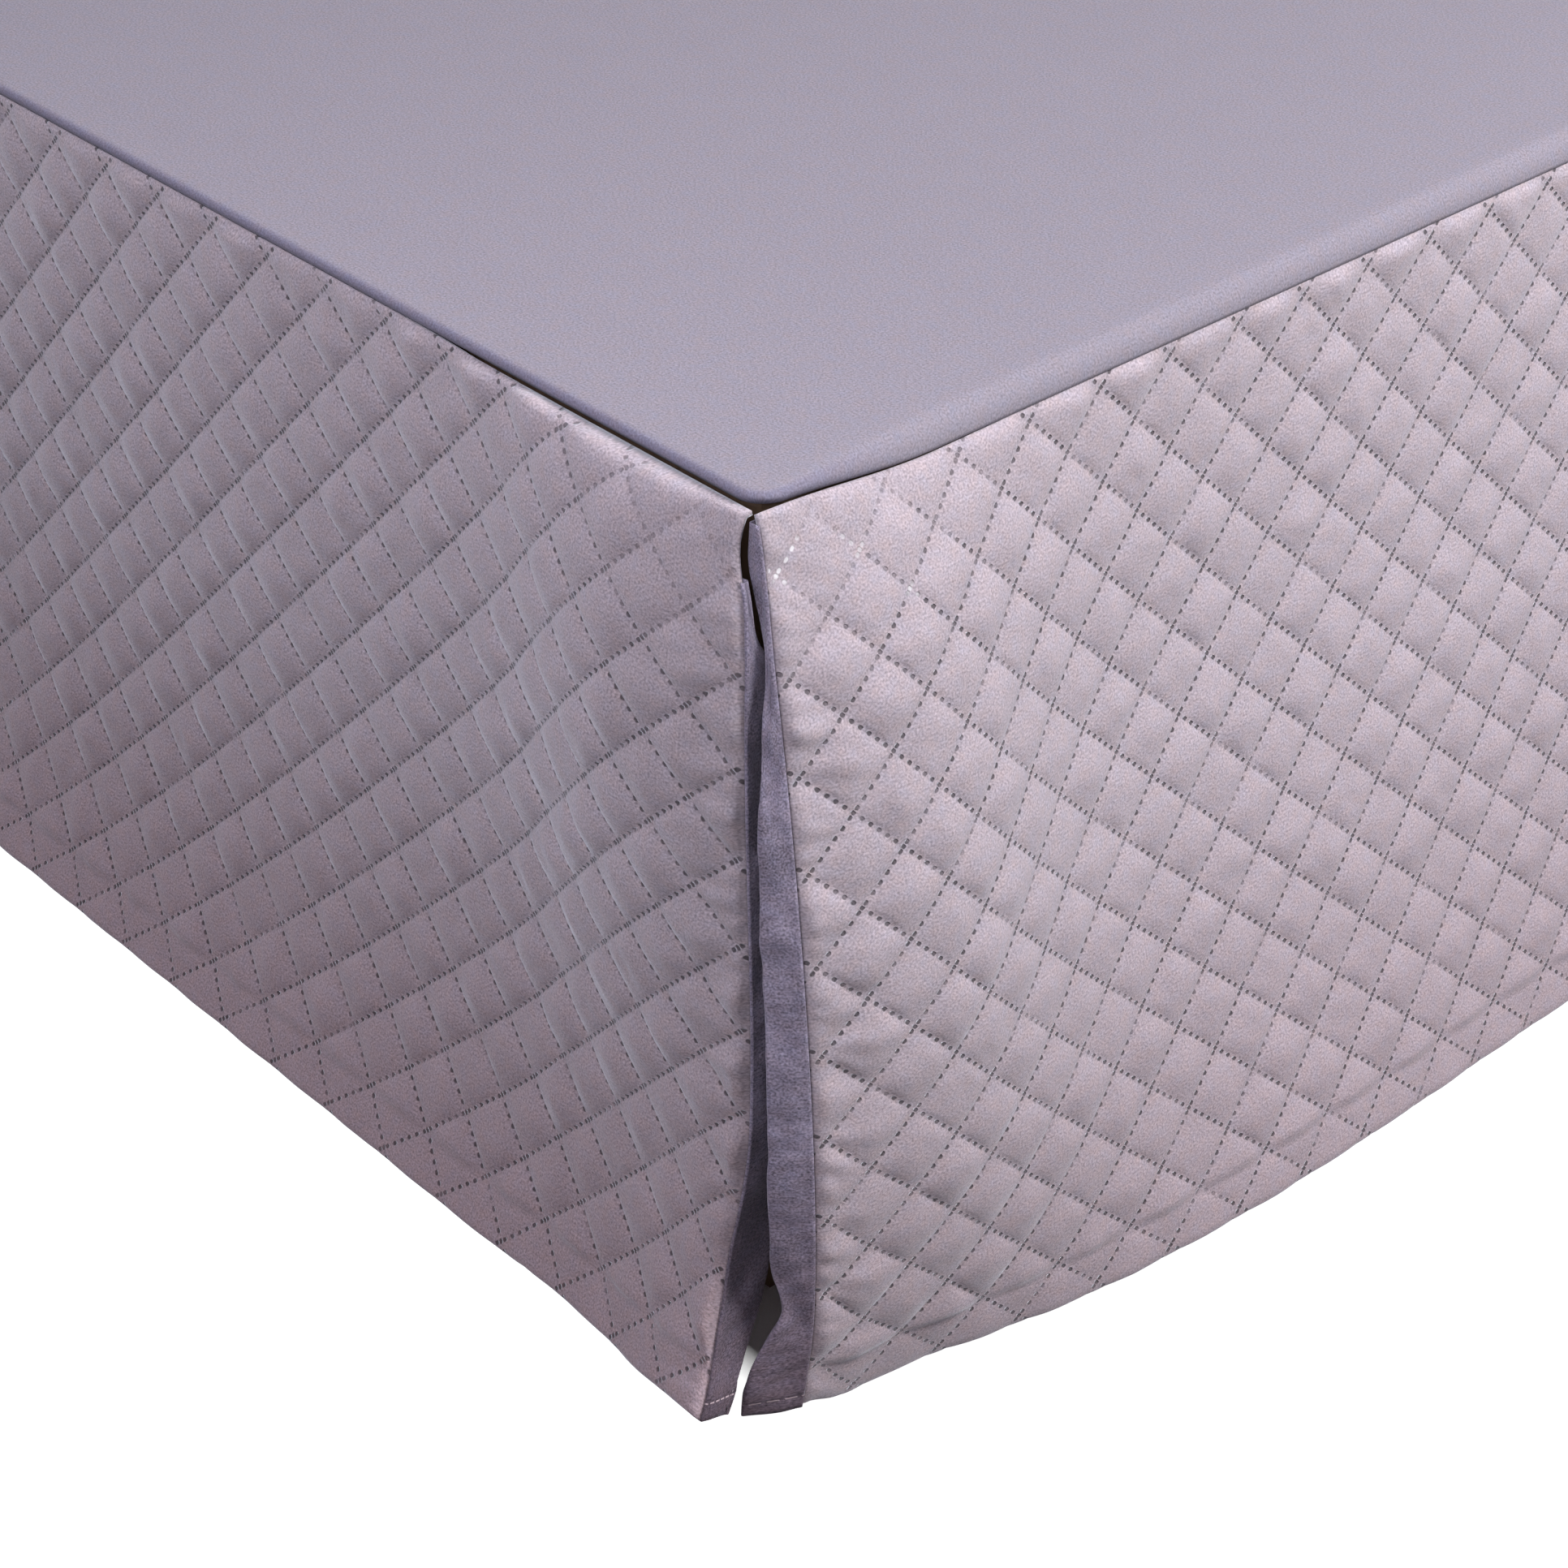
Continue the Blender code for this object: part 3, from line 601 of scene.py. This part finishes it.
def quilt_relief(drop, u, v):
    """Height of the quilted face over its pressed lines. A diamond's pillow is the product of two
    sine arches across it, rounded; it is fuller above its middle's height than a plain arch, differs
    from its neighbours, and has a slack wrinkle or two."""
    x, y = drop["reads"] * (u - drop["first_line"]), v - drop["first_row"]
    p, q = (x + y) / PITCH, (x - y) / PITCH
    arch = np.abs(np.sin(np.pi * p) * np.sin(np.pi * q))
    own = np.random.default_rng(drop["seed"]).uniform(LEAST_FULL, MOST_FULL, OWN_CELLS)
    full = own[np.floor(p).astype(int) % OWN_CELLS[0], np.floor(q).astype(int) % OWN_CELLS[1]]
    slack = soft_noise(x + 0.3 * y, y - 0.2 * x, 0.011, drop["seed"] + 1)
    slack = slack + 0.6 * soft_noise(x - 0.8 * y, 0.35 * (y + x), 0.0065, drop["seed"] + 2)
    pillow = drop["plump"] * arch**ROUND * (full + SLACK * slack)
    return PUFF * pillow * (1 - HEM_PRESS * smooth((v - (DROP - HEM - 0.003)) / 0.004))


CALM_LOSS = 0.85  # how much of the pressure is lost at the corner


def press_strength(drop, u, v):
    """How hard the dashes are pressed: full, but weak beside the corner under the seam."""
    weak = bell(np.maximum(u, 0) / drop["calm_along"]) * bell(v / drop["calm_down"])
    return 1 - CALM_LOSS * weak


SWELL = 0.0006  # the face's broad unevenness
HEM_DENT = 0.0007  # the hem's sewn line
TUG = 0.0009  # the wrinkles beside a split end
RUCK = 0.0004  # the wrinkles under the seam
END_ROUND, SEAM_ROUND, HEM_ROUND = 0.0010, 0.0004, 0.0008  # how far the folded edges turn back


def face_relief(drop, u, v):
    """How far a drop's face stands off its hung surface: the pillows, flatter where they are pressed
    weakly, a broad swell, the hem's sewn line, wrinkles beside the split ends and under the seam, and
    edges that turn back where they are folded."""
    seed = drop["seed"]
    relief = quilt_relief(drop, u, v) * (0.20 + 0.80 * press_strength(drop, u, v))
    relief += SWELL * soft_noise(u, v, 0.060, seed + 5)
    relief -= HEM_DENT * bell((v - (DROP - HEM)) / 0.0022)
    for _, _, away in ends_of(drop, u):
        tug = soft_noise(away * 0.22, v - 0.25 * away, 0.0060, seed + 6) * bell(away / 0.024)
        tug = tug + 0.6 * soft_noise(away * 0.3, v - 0.2 * away, 0.0034, seed + 9) * bell(away / 0.014)
        relief += TUG * tug
        relief = relief * smooth(away / 0.004 + 0.1) - END_ROUND * bell(away / 0.0011)
    relief += RUCK * soft_noise(u, 0.3 * v, 0.0065, seed + 7) * bell(v / 0.012)
    relief = relief * smooth(v / 0.005 + 0.1) - SEAM_ROUND * bell(v / 0.0014)
    return relief - HEM_ROUND * bell((DROP - v) / 0.0010)


# A drop's grid: lines at even parts of the half pitch, so that pressed lines run from corner to corner
# of its squares. It is finest up to NEAR from the drop's start and coarsest past MIDDLE.
NEAR, MIDDLE = 0.48, 0.78
EDGE_LINES = (0, 0.0007, 0.0016)  # its closer lines at an edge
EDGE_CLEAR = 0.0026  # where the even lines may start


def with_edges(lines, first, last):
    """Even grid lines between two edges, with the closer ones at the edges. Their number is made odd,
    because the lining uses every second one."""
    lines = lines[(lines > first + EDGE_CLEAR) & (lines < last - EDGE_CLEAR)]
    edge = np.array(EDGE_LINES)
    lines = np.concatenate([first + edge, lines, last - edge[::-1]])
    return lines if len(lines) % 2 else np.insert(lines, len(edge), first + 0.0021)


def drop_lines(drop):
    """The grid's lines along and down the cloth."""
    first = -ENDS[drop["starts"]]["ease"]
    last = drop["length"] + ENDS[drop["stops"]]["ease"] if drop["stops"] else drop["length"] - HEAD_SHORT
    us = []
    for start, stop, parts in ((-0.1, NEAR, 8), (NEAR, MIDDLE, 4), (MIDDLE, 3.0, 4 if drop["stops"] else 3)):
        low = math.ceil((start - drop["first_line"]) / HALF)
        high = math.ceil((stop - drop["first_line"]) / HALF)
        us.append(drop["first_line"] + HALF / parts * np.arange(low * parts, high * parts))
    vs = drop["first_row"] + HALF / 8 * np.arange(-8, 200)
    return with_edges(np.concatenate(us), first, last), with_edges(vs, 0, DROP)


def pressed_faces(drop, us, vs):
    """The quilted face's triangles: each grid square is split the way that its pressed lines run."""
    rows, columns = len(us), len(vs)
    index = np.arange(rows * columns).reshape(rows, columns)
    a, b, c, d = index[:-1, :-1], index[1:, :-1], index[1:, 1:], index[:-1, 1:]  # a square's corners
    x = (us[1:] + us[:-1]) / 2 - drop["first_line"]
    y = (vs[1:] + vs[:-1]) / 2 - drop["first_row"]
    cell = np.floor(x / HALF)[:, None] + np.floor(y / HALF)[None, :]
    falling = (cell % 2) == 0
    one = np.where(falling[..., None], np.stack([a, b, c], -1), np.stack([a, b, d], -1))
    two = np.where(falling[..., None], np.stack([a, c, d], -1), np.stack([b, c, d], -1))
    return np.concatenate([one.reshape(-1, 3), two.reshape(-1, 3)])


def lining_faces(rows, columns):
    """The back's four-sided faces over every second line, and the five-sided faces that join its
    border to the front's. The back's points are numbered after the front's."""
    front = np.arange(rows * columns).reshape(rows, columns)
    back = rows * columns + np.arange(((rows + 1) // 2) * ((columns + 1) // 2))
    back = back.reshape((rows + 1) // 2, (columns + 1) // 2)
    corners = (back[:-1, :-1], back[:-1, 1:], back[1:, 1:], back[1:, :-1])
    quads = np.stack([c.ravel() for c in corners], -1)
    rim = np.concatenate([front[:, 0], front[-1, 1:], front[-2::-1, -1], front[0, -2::-1]])
    under = np.concatenate([back[:, 0], back[-1, 1:], back[-2::-1, -1], back[0, -2::-1]])
    joins = np.stack([rim[:-2:2], under[:-1], under[1:], rim[2::2], rim[1:-1:2]], -1)
    return quads, joins


HEM_THICK = 0.0006  # what the turned-up hem adds to the cloth's thickness
DASH_GLINTS = {  # along, down, radius, strength: where melted dashes get a painted white highlight
    "side_right": ((0.002, 0.018, 0.0085, 1.0), (0.030, 0.020, 0.0070, 0.5), (0.052, 0.042, 0.0030, 0.8)),
}


def quilted_drop(name, side):
    """One drop as a closed cloth: the quilted face, a smoother lining, and the folded edges."""
    drop = DROPS[side]
    us, vs = drop_lines(drop)
    points = placed(side, *hung(drop, us, vs))
    normals = unit_normals(points, drop["outward"])
    u, v = np.meshgrid(us, vs, indexing="ij")
    front = points + normals * face_relief(drop, u, v)[..., None]
    thick = QUILTED + HEM_THICK * smooth((v - (DROP - HEM)) / 0.002)
    back = (points - normals * thick[..., None])[::2, ::2]
    flat = np.stack([drop["reads"] * (u - drop["first_line"]), drop["first_row"] - v], -1)
    # Where the dashes get their painted white highlight
    dash_glint = np.zeros_like(u)
    for along, down, radius, strength in DASH_GLINTS.get(side, ()):
        dash_glint = np.maximum(dash_glint, strength * (np.hypot(u - along, v - down) < radius))
    marks = {"press": press_strength(drop, u, v), "dash_glint": dash_glint, "hem_shade": np.full_like(u, drop["hem_shade"])}
    quads, joins = lining_faces(*u.shape)
    faces = [pressed_faces(drop, us, vs), quads, joins]
    if drop["reads"] == 1:
        faces = [group[:, ::-1] for group in faces]
    piece = cloth_piece(
        name,
        np.concatenate([front.reshape(-1, 3), back.reshape(-1, 3)]),
        faces,
        np.concatenate([flat.reshape(-1, 2), flat[::2, ::2].reshape(-1, 2)]),
        quilted_cloth,
        {mark: np.concatenate([values.ravel(), values[::2, ::2].ravel()]) for mark, values in marks.items()},
    )
    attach(piece, "root")
    return piece


def from_whole(tree, value):
    """Distance of a value from the nearest whole number."""
    return maths(tree, "ABSOLUTE", maths(tree, "SUBTRACT", value, maths(tree, "ROUND", value)))


# Pressed dashes along the diamonds' lines. A dash is where the distances along and off its line,
# each over its size and raised to a power, add up to less than 1.6, and its rim where they add up to
# less than 6. On lines that fall to the right a dash sits on each crossing; on the others a gap does.
DASHES = 6.0  # to a diamond's side
DASH_HALF, DASH_WIDE = 0.00102, 0.00080  # half a dash's length and width
LINE_WIDE = 0.0030  # half the width of the faint line that joins them
dashes, given, made = effect_group(
    "pressed_dashes",
    [("Cloth", "NodeSocketVector"), ("Pitch", "NodeSocketFloat")],
    [("Dash", "NodeSocketFloat"), ("Rim", "NodeSocketFloat"), ("Line", "NodeSocketFloat")],
)
place = split_up(dashes, given["Cloth"])
right, down = place[0], maths(dashes, "MULTIPLY", place[1], -1.0)
side_length = maths(dashes, "MULTIPLY", given["Pitch"], math.sqrt(0.5))
spacing = maths(dashes, "DIVIDE", side_length, DASHES)
p = maths(dashes, "DIVIDE", maths(dashes, "ADD", right, down), given["Pitch"])
q = maths(dashes, "DIVIDE", maths(dashes, "SUBTRACT", right, down), given["Pitch"])
spots, rims, lines = [], [], []
for across, along, phase in ((p, q, 0.5), (q, p, 0.0)):
    off = maths(dashes, "MULTIPLY", from_whole(dashes, across), side_length)
    count = maths(dashes, "MULTIPLY_ADD", along, DASHES, phase)
    run = maths(dashes, "MULTIPLY", from_whole(dashes, count), spacing)
    wide = maths(dashes, "POWER", maths(dashes, "DIVIDE", off, DASH_WIDE), 2.0)
    long = maths(dashes, "POWER", maths(dashes, "DIVIDE", run, DASH_HALF), 2.6)
    shape = maths(dashes, "ADD", wide, long)
    spots.append(maths(dashes, "SUBTRACT", 1.6, shape, clamp=True))
    rims.append(maths(dashes, "DIVIDE", maths(dashes, "SUBTRACT", 6.0, shape), 4.4, clamp=True))
    lines.append(maths(dashes, "SUBTRACT", 1.0, maths(dashes, "DIVIDE", off, LINE_WIDE), clamp=True))
for socket, either in (("Dash", spots), ("Rim", rims), ("Line", lines)):
    dashes.links.new(maths(dashes, "MAXIMUM", *either), made[socket])

quilted_cloth, tree, flat, colour, height = cloth_material(
    "quilted_microfibre", (0.448, 0.398, 0.437), thread=0.00060, depth=0.00003, weave=0.18, patch=0.26,
    fine=1.6, sheen=0.80,
)
pressed = node(tree, "ShaderNodeGroup", node_tree=dashes)
tree.links.new(flat, pressed.inputs["Cloth"])
pressed.inputs["Pitch"].default_value = PITCH
press = mark_value(tree, "press")

# No two dashes are pressed alike. A dash is dark, its rim a little lighter than the cloth, and the line
# between dashes a little darker: painted shade in the dashes' hollows and along the pressed lines, and a
# painted highlight on the raised rims.
uneven = maths(tree, "MULTIPLY_ADD", noise(tree, flat, 55.0, 1.0), 2.2, -0.15)
firm = maths(tree, "MULTIPLY", press, uneven, clamp=True)
dash = maths(tree, "MULTIPLY", pressed.outputs["Dash"], firm)
rim = maths(tree, "SUBTRACT", pressed.outputs["Rim"], pressed.outputs["Dash"])
rim = maths(tree, "MULTIPLY", rim, firm)
line = maths(tree, "MULTIPLY", pressed.outputs["Line"], press)
kept = maths(tree, "MULTIPLY_ADD", dash, -0.70, 1.0)
kept = maths(tree, "MULTIPLY_ADD", rim, 0.06, kept)
kept = maths(tree, "MULTIPLY_ADD", line, -0.03, kept)
colour = tinted(tree, colour, kept)

GLINT_WHITE = (0.80, 0.79, 0.82, 1)  # painted highlight: melted dashes catching the light
glinting = maths(tree, "MULTIPLY", mark_value(tree, "dash_glint"), pressed.outputs["Dash"], clamp=True)
colour = mixed(tree, glinting, colour, GLINT_WHITE)

QUILT_HEM_SHADE = (0.75, 0.66, 0.65, 1)  # painted shade: browner and darker toward the floor
QUILT_DIMS_FROM = 0.16  # down the drop
# Painted shade: each drop darkens and browns toward its hem, and the foot drop does so most.
down = split_up(tree, flat)[1]
toward_hem = node(tree, "ShaderNodeMapRange", [(0, down), (1, -QUILT_DIMS_FROM), (2, -DROP)]).outputs[0]
toward_hem = maths(tree, "MULTIPLY", toward_hem, mark_value(tree, "hem_shade"))
colour = tinted(tree, colour, mixed(tree, toward_hem, WHITE, QUILT_HEM_SHADE))

DASH_DEEP, RIM_HIGH, RUCKS_HIGH = 0.00035, 0.00006, 0.00022
height = maths(tree, "MULTIPLY_ADD", dash, -DASH_DEEP, height)
height = maths(tree, "MULTIPLY_ADD", rim, RIM_HIGH, height)
height = maths(tree, "MULTIPLY_ADD", noise(tree, flat, 210.0, 2.0), RUCKS_HIGH, height)
finish_cloth(tree, colour, height)

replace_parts(quilted_drop("foot_drop", "foot"), "drop_foot")
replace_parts(quilted_drop("right_drop", "side_right"), "drop_side_right")
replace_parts(quilted_drop("left_drop", "side_left"), "drop_side_left")

# --------------------------------------
# The facing strips: a dark plain twill sewn to each drop's split end, turned in
# behind the corner, folded back and laid along the drop's back, with its own
# narrow hem sewn with one line of pale thread.
# --------------------------------------
STRIP_THICK = 0.0007
STRIP_HEM = 0.007  # the thread's line, over the strip's lower edge
STRIP_TURN = 0.0010  # radius of the turn where it leaves the drop's end
STRIP_FOLD = 0.0008  # radius of its free fold
STRIP_BACK = 0.018  # how far along its drop's back it is fixed
STRIP_BEHIND = 0.0045  # how far behind the drop's face it lies there

# A strip's rows: height down its drop, how wide it shows, and its lean, from straight in (0 degrees)
# to the drop's own plane (90). Below nought it turns back behind the other drop.
STRIPS = {
    "foot_right": (
        (0.026, 0.0030, 0), (0.038, 0.0034, 0), (0.046, 0.0038, 0), (0.054, 0.0080, 0),
        (0.064, 0.0140, -4), (0.085, 0.0190, -5), (0.200, 0.0220, -5), (0.300, 0.0235, -4),
        (0.336, 0.0222, -2), (0.346, 0.0200, 0), (0.354, 0.0160, 0), (0.362, 0.0138, 4), (0.376, 0.0105, 22),
    ),
    "foot_left": (
        (0.026, 0.0030, 0), (0.040, 0.0040, 0), (0.070, 0.0120, -4), (0.200, 0.0200, -4), (0.290, 0.0180, -2),
        (0.320, 0.0195, 0), (0.376, 0.0130, 12),
    ),
    "side_right": (
        (0.004, 0.0030, 0), (0.009, 0.0052, 0), (0.016, 0.0088, 0), (0.030, 0.0076, 0), (0.038, 0.0050, 0),
        (0.045, 0.0032, 2), (0.051, 0.0026, 10), (0.057, 0.0032, 25), (0.066, 0.0045, 40),
        (0.080, 0.0068, 50), (0.120, 0.0113, 50), (0.160, 0.0138, 45), (0.240, 0.0156, 45),
        (0.282, 0.0167, 45), (0.296, 0.0150, 45), (0.304, 0.0178, 46), (0.312, 0.0138, 48),
        (0.320, 0.0096, 50), (0.328, 0.0116, 53), (0.336, 0.0165, 57), (0.346, 0.0212, 60),
        (0.358, 0.0234, 60), (0.376, 0.0230, 60),
    ),
    "side_left": (
        (0.010, 0.0050, 0), (0.018, 0.0076, 0), (0.034, 0.0050, 0), (0.045, 0.0032, 4),
        (0.060, 0.0044, 30), (0.090, 0.0080, 48), (0.150, 0.0120, 45), (0.250, 0.0140, 42),
        (0.310, 0.0160, 45), (0.340, 0.0185, 52), (0.376, 0.0205, 55),
    ),
}

# The strips' strong soft patches are painted light and shade on their wrinkles.
facing_cloth, tree, flat, colour, height = cloth_material(
    "facing_twill", (0.262, 0.238, 0.312), thread=0.00065, depth=0.00004, weave=0.30, patch=0.95,
    fine=2.6, sheen=0.30,
)
place = split_up(tree, flat)

FACING_HEM_SHADE = (0.64, 0.54, 0.51, 1)  # painted shade: browner and darker toward the floor
FACING_DIMS_FROM = 0.24  # down the drop
FACING_EXTRA_SHADE = 0.42  # how much more painted shade a foot strip gets at its hem
# Painted shade: every strip darkens and browns toward its hem, and the foot's strips do so more.
toward_hem = node(tree, "ShaderNodeMapRange", [(0, place[1]), (1, -FACING_DIMS_FROM), (2, -DROP)]).outputs[0]
hem_shade = maths(tree, "MULTIPLY", mark_value(tree, "hem_shade"), toward_hem)
colour = tinted(tree, colour, mixed(tree, toward_hem, WHITE, FACING_HEM_SHADE))
colour = tinted(tree, colour, maths(tree, "MULTIPLY_ADD", hem_shade, -FACING_EXTRA_SHADE, 1.0))

# The hem's pale stitches, and the dent that their line makes.
THREAD = (0.55, 0.44, 0.47, 1)
THREAD_HALF, DENT_HALF = 0.00045, 0.0016  # half the thread's and the dent's width
STITCH, STITCH_SHARE = 0.0036, 0.38  # a stitch with its gap, and half the share that is thread
from_line = maths(tree, "ABSOLUTE", maths(tree, "ADD", place[1], DROP - STRIP_HEM))
on_line = maths(tree, "SUBTRACT", 1.0, maths(tree, "DIVIDE", from_line, THREAD_HALF), clamp=True)
stitch = from_whole(tree, maths(tree, "MULTIPLY", place[0], 1 / STITCH))
stitch = maths(tree, "MULTIPLY", maths(tree, "SUBTRACT", STITCH_SHARE, stitch), 12.0, clamp=True)
sewn = maths(tree, "MULTIPLY", maths(tree, "MULTIPLY", on_line, stitch), 1.6, clamp=True)
near_line = maths(tree, "SUBTRACT", 1.0, maths(tree, "DIVIDE", from_line, DENT_HALF), clamp=True)

DENT_DEEP, STITCH_HIGH, CREASES_HIGH = 0.00025, 0.00035, 0.0016
height = maths(tree, "MULTIPLY_ADD", near_line, -DENT_DEEP, height)
height = maths(tree, "MULTIPLY_ADD", sewn, STITCH_HIGH, height)
height = maths(tree, "MULTIPLY_ADD", noise(tree, flat, 95.0, 2.0), CREASES_HIGH, height)
finish_cloth(tree, mixed(tree, sewn, colour, THREAD), height)


def strip_path(side, at):
    """A strip's middle surface, as a path carried down its drop's end. At each height the path leaves
    the end with a small turn, runs straight at its lean for the width that shows, makes its free
    fold, and runs back to where it is fixed along the drop's back. Gives the surface's points, their
    places across and down the flat cloth, and the number of the line where the free fold starts."""
    drop = DROPS[side]
    end, rows = ENDS[drop[at]], STRIPS[drop[at]]
    way = 1 if at == "starts" else -1
    edge = -end["ease"] if at == "starts" else drop["length"] + end["ease"]
    vs = np.linspace(rows[0][0], DROP, 171)
    x, out, z = hung(drop, np.array([edge, edge + way * STRIP_BACK]), vs)
    wide, lean = read_rows(rows, vs, 1) - STRIP_FOLD, np.radians(read_rows(rows, vs, 2))
    heading = -np.pi / 2 - lean
    inward, sideways = np.abs(np.sin(heading)), np.abs(np.cos(heading))

    r = np.minimum(STRIP_TURN, 0.45 * wide)
    turn = np.linspace(0, 1, 5)[:-1, None] * np.pi / 2
    leave_along = -GAP - r * np.sin(turn) * inward - r * turn / 1.6 * sideways
    leave_out = -GAP - r * (1 - np.cos(turn)) * inward

    run = r + np.linspace(0, 1, 13)[:, None] * (wide - r)
    shown_along = -GAP - r * inward + run * np.cos(heading)
    shown_out = -GAP + run * np.sin(heading)

    steepness = np.maximum(-np.gradient(z[0], vs), 0.5)
    fixed_along, fixed_out = way * (x[1] - x[0]), out[1] - out[0] - STRIP_BEHIND / steepness
    homing = np.arctan2(fixed_out - shown_out[-1], fixed_along - shown_along[-1])
    turn = heading + np.linspace(0, 1, 8)[1:, None] * (homing - heading)
    bent_along = shown_along[-1] + STRIP_FOLD * (np.sin(turn) - np.sin(heading))
    bent_out = shown_out[-1] - STRIP_FOLD * (np.cos(turn) - np.cos(heading))

    share = np.linspace(0, 1, 9)[1:, None]
    back_along = bent_along[-1] + share * (fixed_along - bent_along[-1])
    back_out = bent_out[-1] + share * (fixed_out - bent_out[-1])

    along = np.concatenate([leave_along, shown_along, bent_along, back_along])
    off = np.concatenate([leave_out, shown_out, bent_out, back_out])
    middle = placed(side, x[0] + way * along, out[0] + off, np.broadcast_to(z[0], along.shape))
    steps = np.hypot(np.diff(along, axis=0), np.diff(off, axis=0)).mean(axis=1)
    across = np.concatenate([[0], np.cumsum(steps)])
    return middle, across, vs, len(leave_along) + len(shown_along) - 1


RIPPLE, FINE_RIPPLE = 0.0011, 0.0005  # a strip's soft waves


def facing_strip(name, side, at, node_name):
    """One strip: its path's surface with soft ripples, given its cloth's thickness. The ripples fade
    at the drop's end, past the free fold, and at the top."""
    middle, across, vs, fold = strip_path(side, at)
    u, v = np.meshgrid(across, vs, indexing="ij")
    way = 1 if at == "starts" else -1
    normals = unit_normals(middle, (way, 0, 0) if side == "foot" else (0, -1, 0))
    seed = DROPS[side]["seed"]
    ripple = RIPPLE * soft_noise(u + 0.5 * v, 0.8 * v - 0.3 * u, 0.012, seed + 8)
    ripple = ripple + FINE_RIPPLE * soft_noise(u - 0.8 * v, 0.5 * v, 0.0060, seed + 10)
    ripple = ripple * smooth((u - 0.001) / 0.005) * smooth((across[fold] + 0.003 - u) / 0.004)
    ripple = ripple * smooth((v - vs[0]) / 0.020)
    middle = middle + normals * ripple[..., None]
    faces = grid_faces(*u.shape)
    first, second, third = middle.reshape(-1, 3)[faces[0, :3]]
    if np.cross(second - first, third - first) @ normals.reshape(-1, 3)[faces[0, 0]] < 0:
        faces = faces[:, ::-1]
    marks = {"hem_shade": np.full(u.shape, 1.0 if side == "foot" else 0.0)}  # painted shade: the foot's strips are darker toward the hem
    flat = np.stack([u, -v], -1).reshape(-1, 2)
    piece = cloth_piece(name, middle.reshape(-1, 3), [faces], flat, facing_cloth, marks)
    thicken(piece, STRIP_THICK)
    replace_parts(piece, node_name)
    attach(piece, "root")


facing_strip("foot_strip_right", "foot", "starts", "facing_foot_right")
facing_strip("foot_strip_left", "foot", "stops", "facing_foot_left")
facing_strip("side_strip_right", "side_right", "starts", "facing_side_right")
facing_strip("side_strip_left", "side_left", "starts", "facing_side_left")

# --------------------------------------
# The bed base under the cloth: a plain stained timber box on six square legs, its
# grain running along the bed. Its solid already has its shape.
# --------------------------------------
GRAIN = (26.0, 1.6, 26.0)  # the grain's noise is drawn out along the bed
STREAKS = (900.0, 22.0, 900.0)  # and the fine streaks' too
DARK_WOOD, LIGHT_WOOD = (0.15, 0.095, 0.055, 1), (0.24, 0.160, 0.100, 1)
timber = bpy.data.materials.new("base_timber")
timber.use_nodes = True
tree = timber.node_tree
shader = tree.nodes["Principled BSDF"]
place = node(tree, "ShaderNodeTexCoord").outputs["Object"]
drawn = node(tree, "ShaderNodeMapping", [("Vector", place), ("Scale", GRAIN)]).outputs[0]
sockets = [("Vector", drawn), ("Scale", 1.0), ("Detail", 6.0), ("Distortion", 0.6)]
figure = node(tree, "ShaderNodeTexNoise", sockets).outputs[0]
rings = maths(tree, "SINE", maths(tree, "MULTIPLY", figure, 34.0))
rings = maths(tree, "MULTIPLY_ADD", rings, 0.5, 0.5)
streaked = node(tree, "ShaderNodeMapping", [("Vector", place), ("Scale", STREAKS)]).outputs[0]
streaks = noise(tree, streaked, 1.0, 2.0)
grain = maths(tree, "ADD", maths(tree, "MULTIPLY", rings, 0.55), maths(tree, "MULTIPLY", streaks, 0.5))
stained = node(tree, "ShaderNodeValToRGB", [("Fac", grain)])
stained.color_ramp.elements[0].color = DARK_WOOD
stained.color_ramp.elements[1].color = LIGHT_WOOD
tree.links.new(stained.outputs[0], shader.inputs["Base Color"])
shader.inputs["Roughness"].default_value = 0.55
bump = node(tree, "ShaderNodeBump", [("Height", streaks), ("Distance", 0.0003), ("Strength", 0.5)])
tree.links.new(bump.outputs[0], shader.inputs["Normal"])
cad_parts["bed_base"].material_slots[0].material = timber
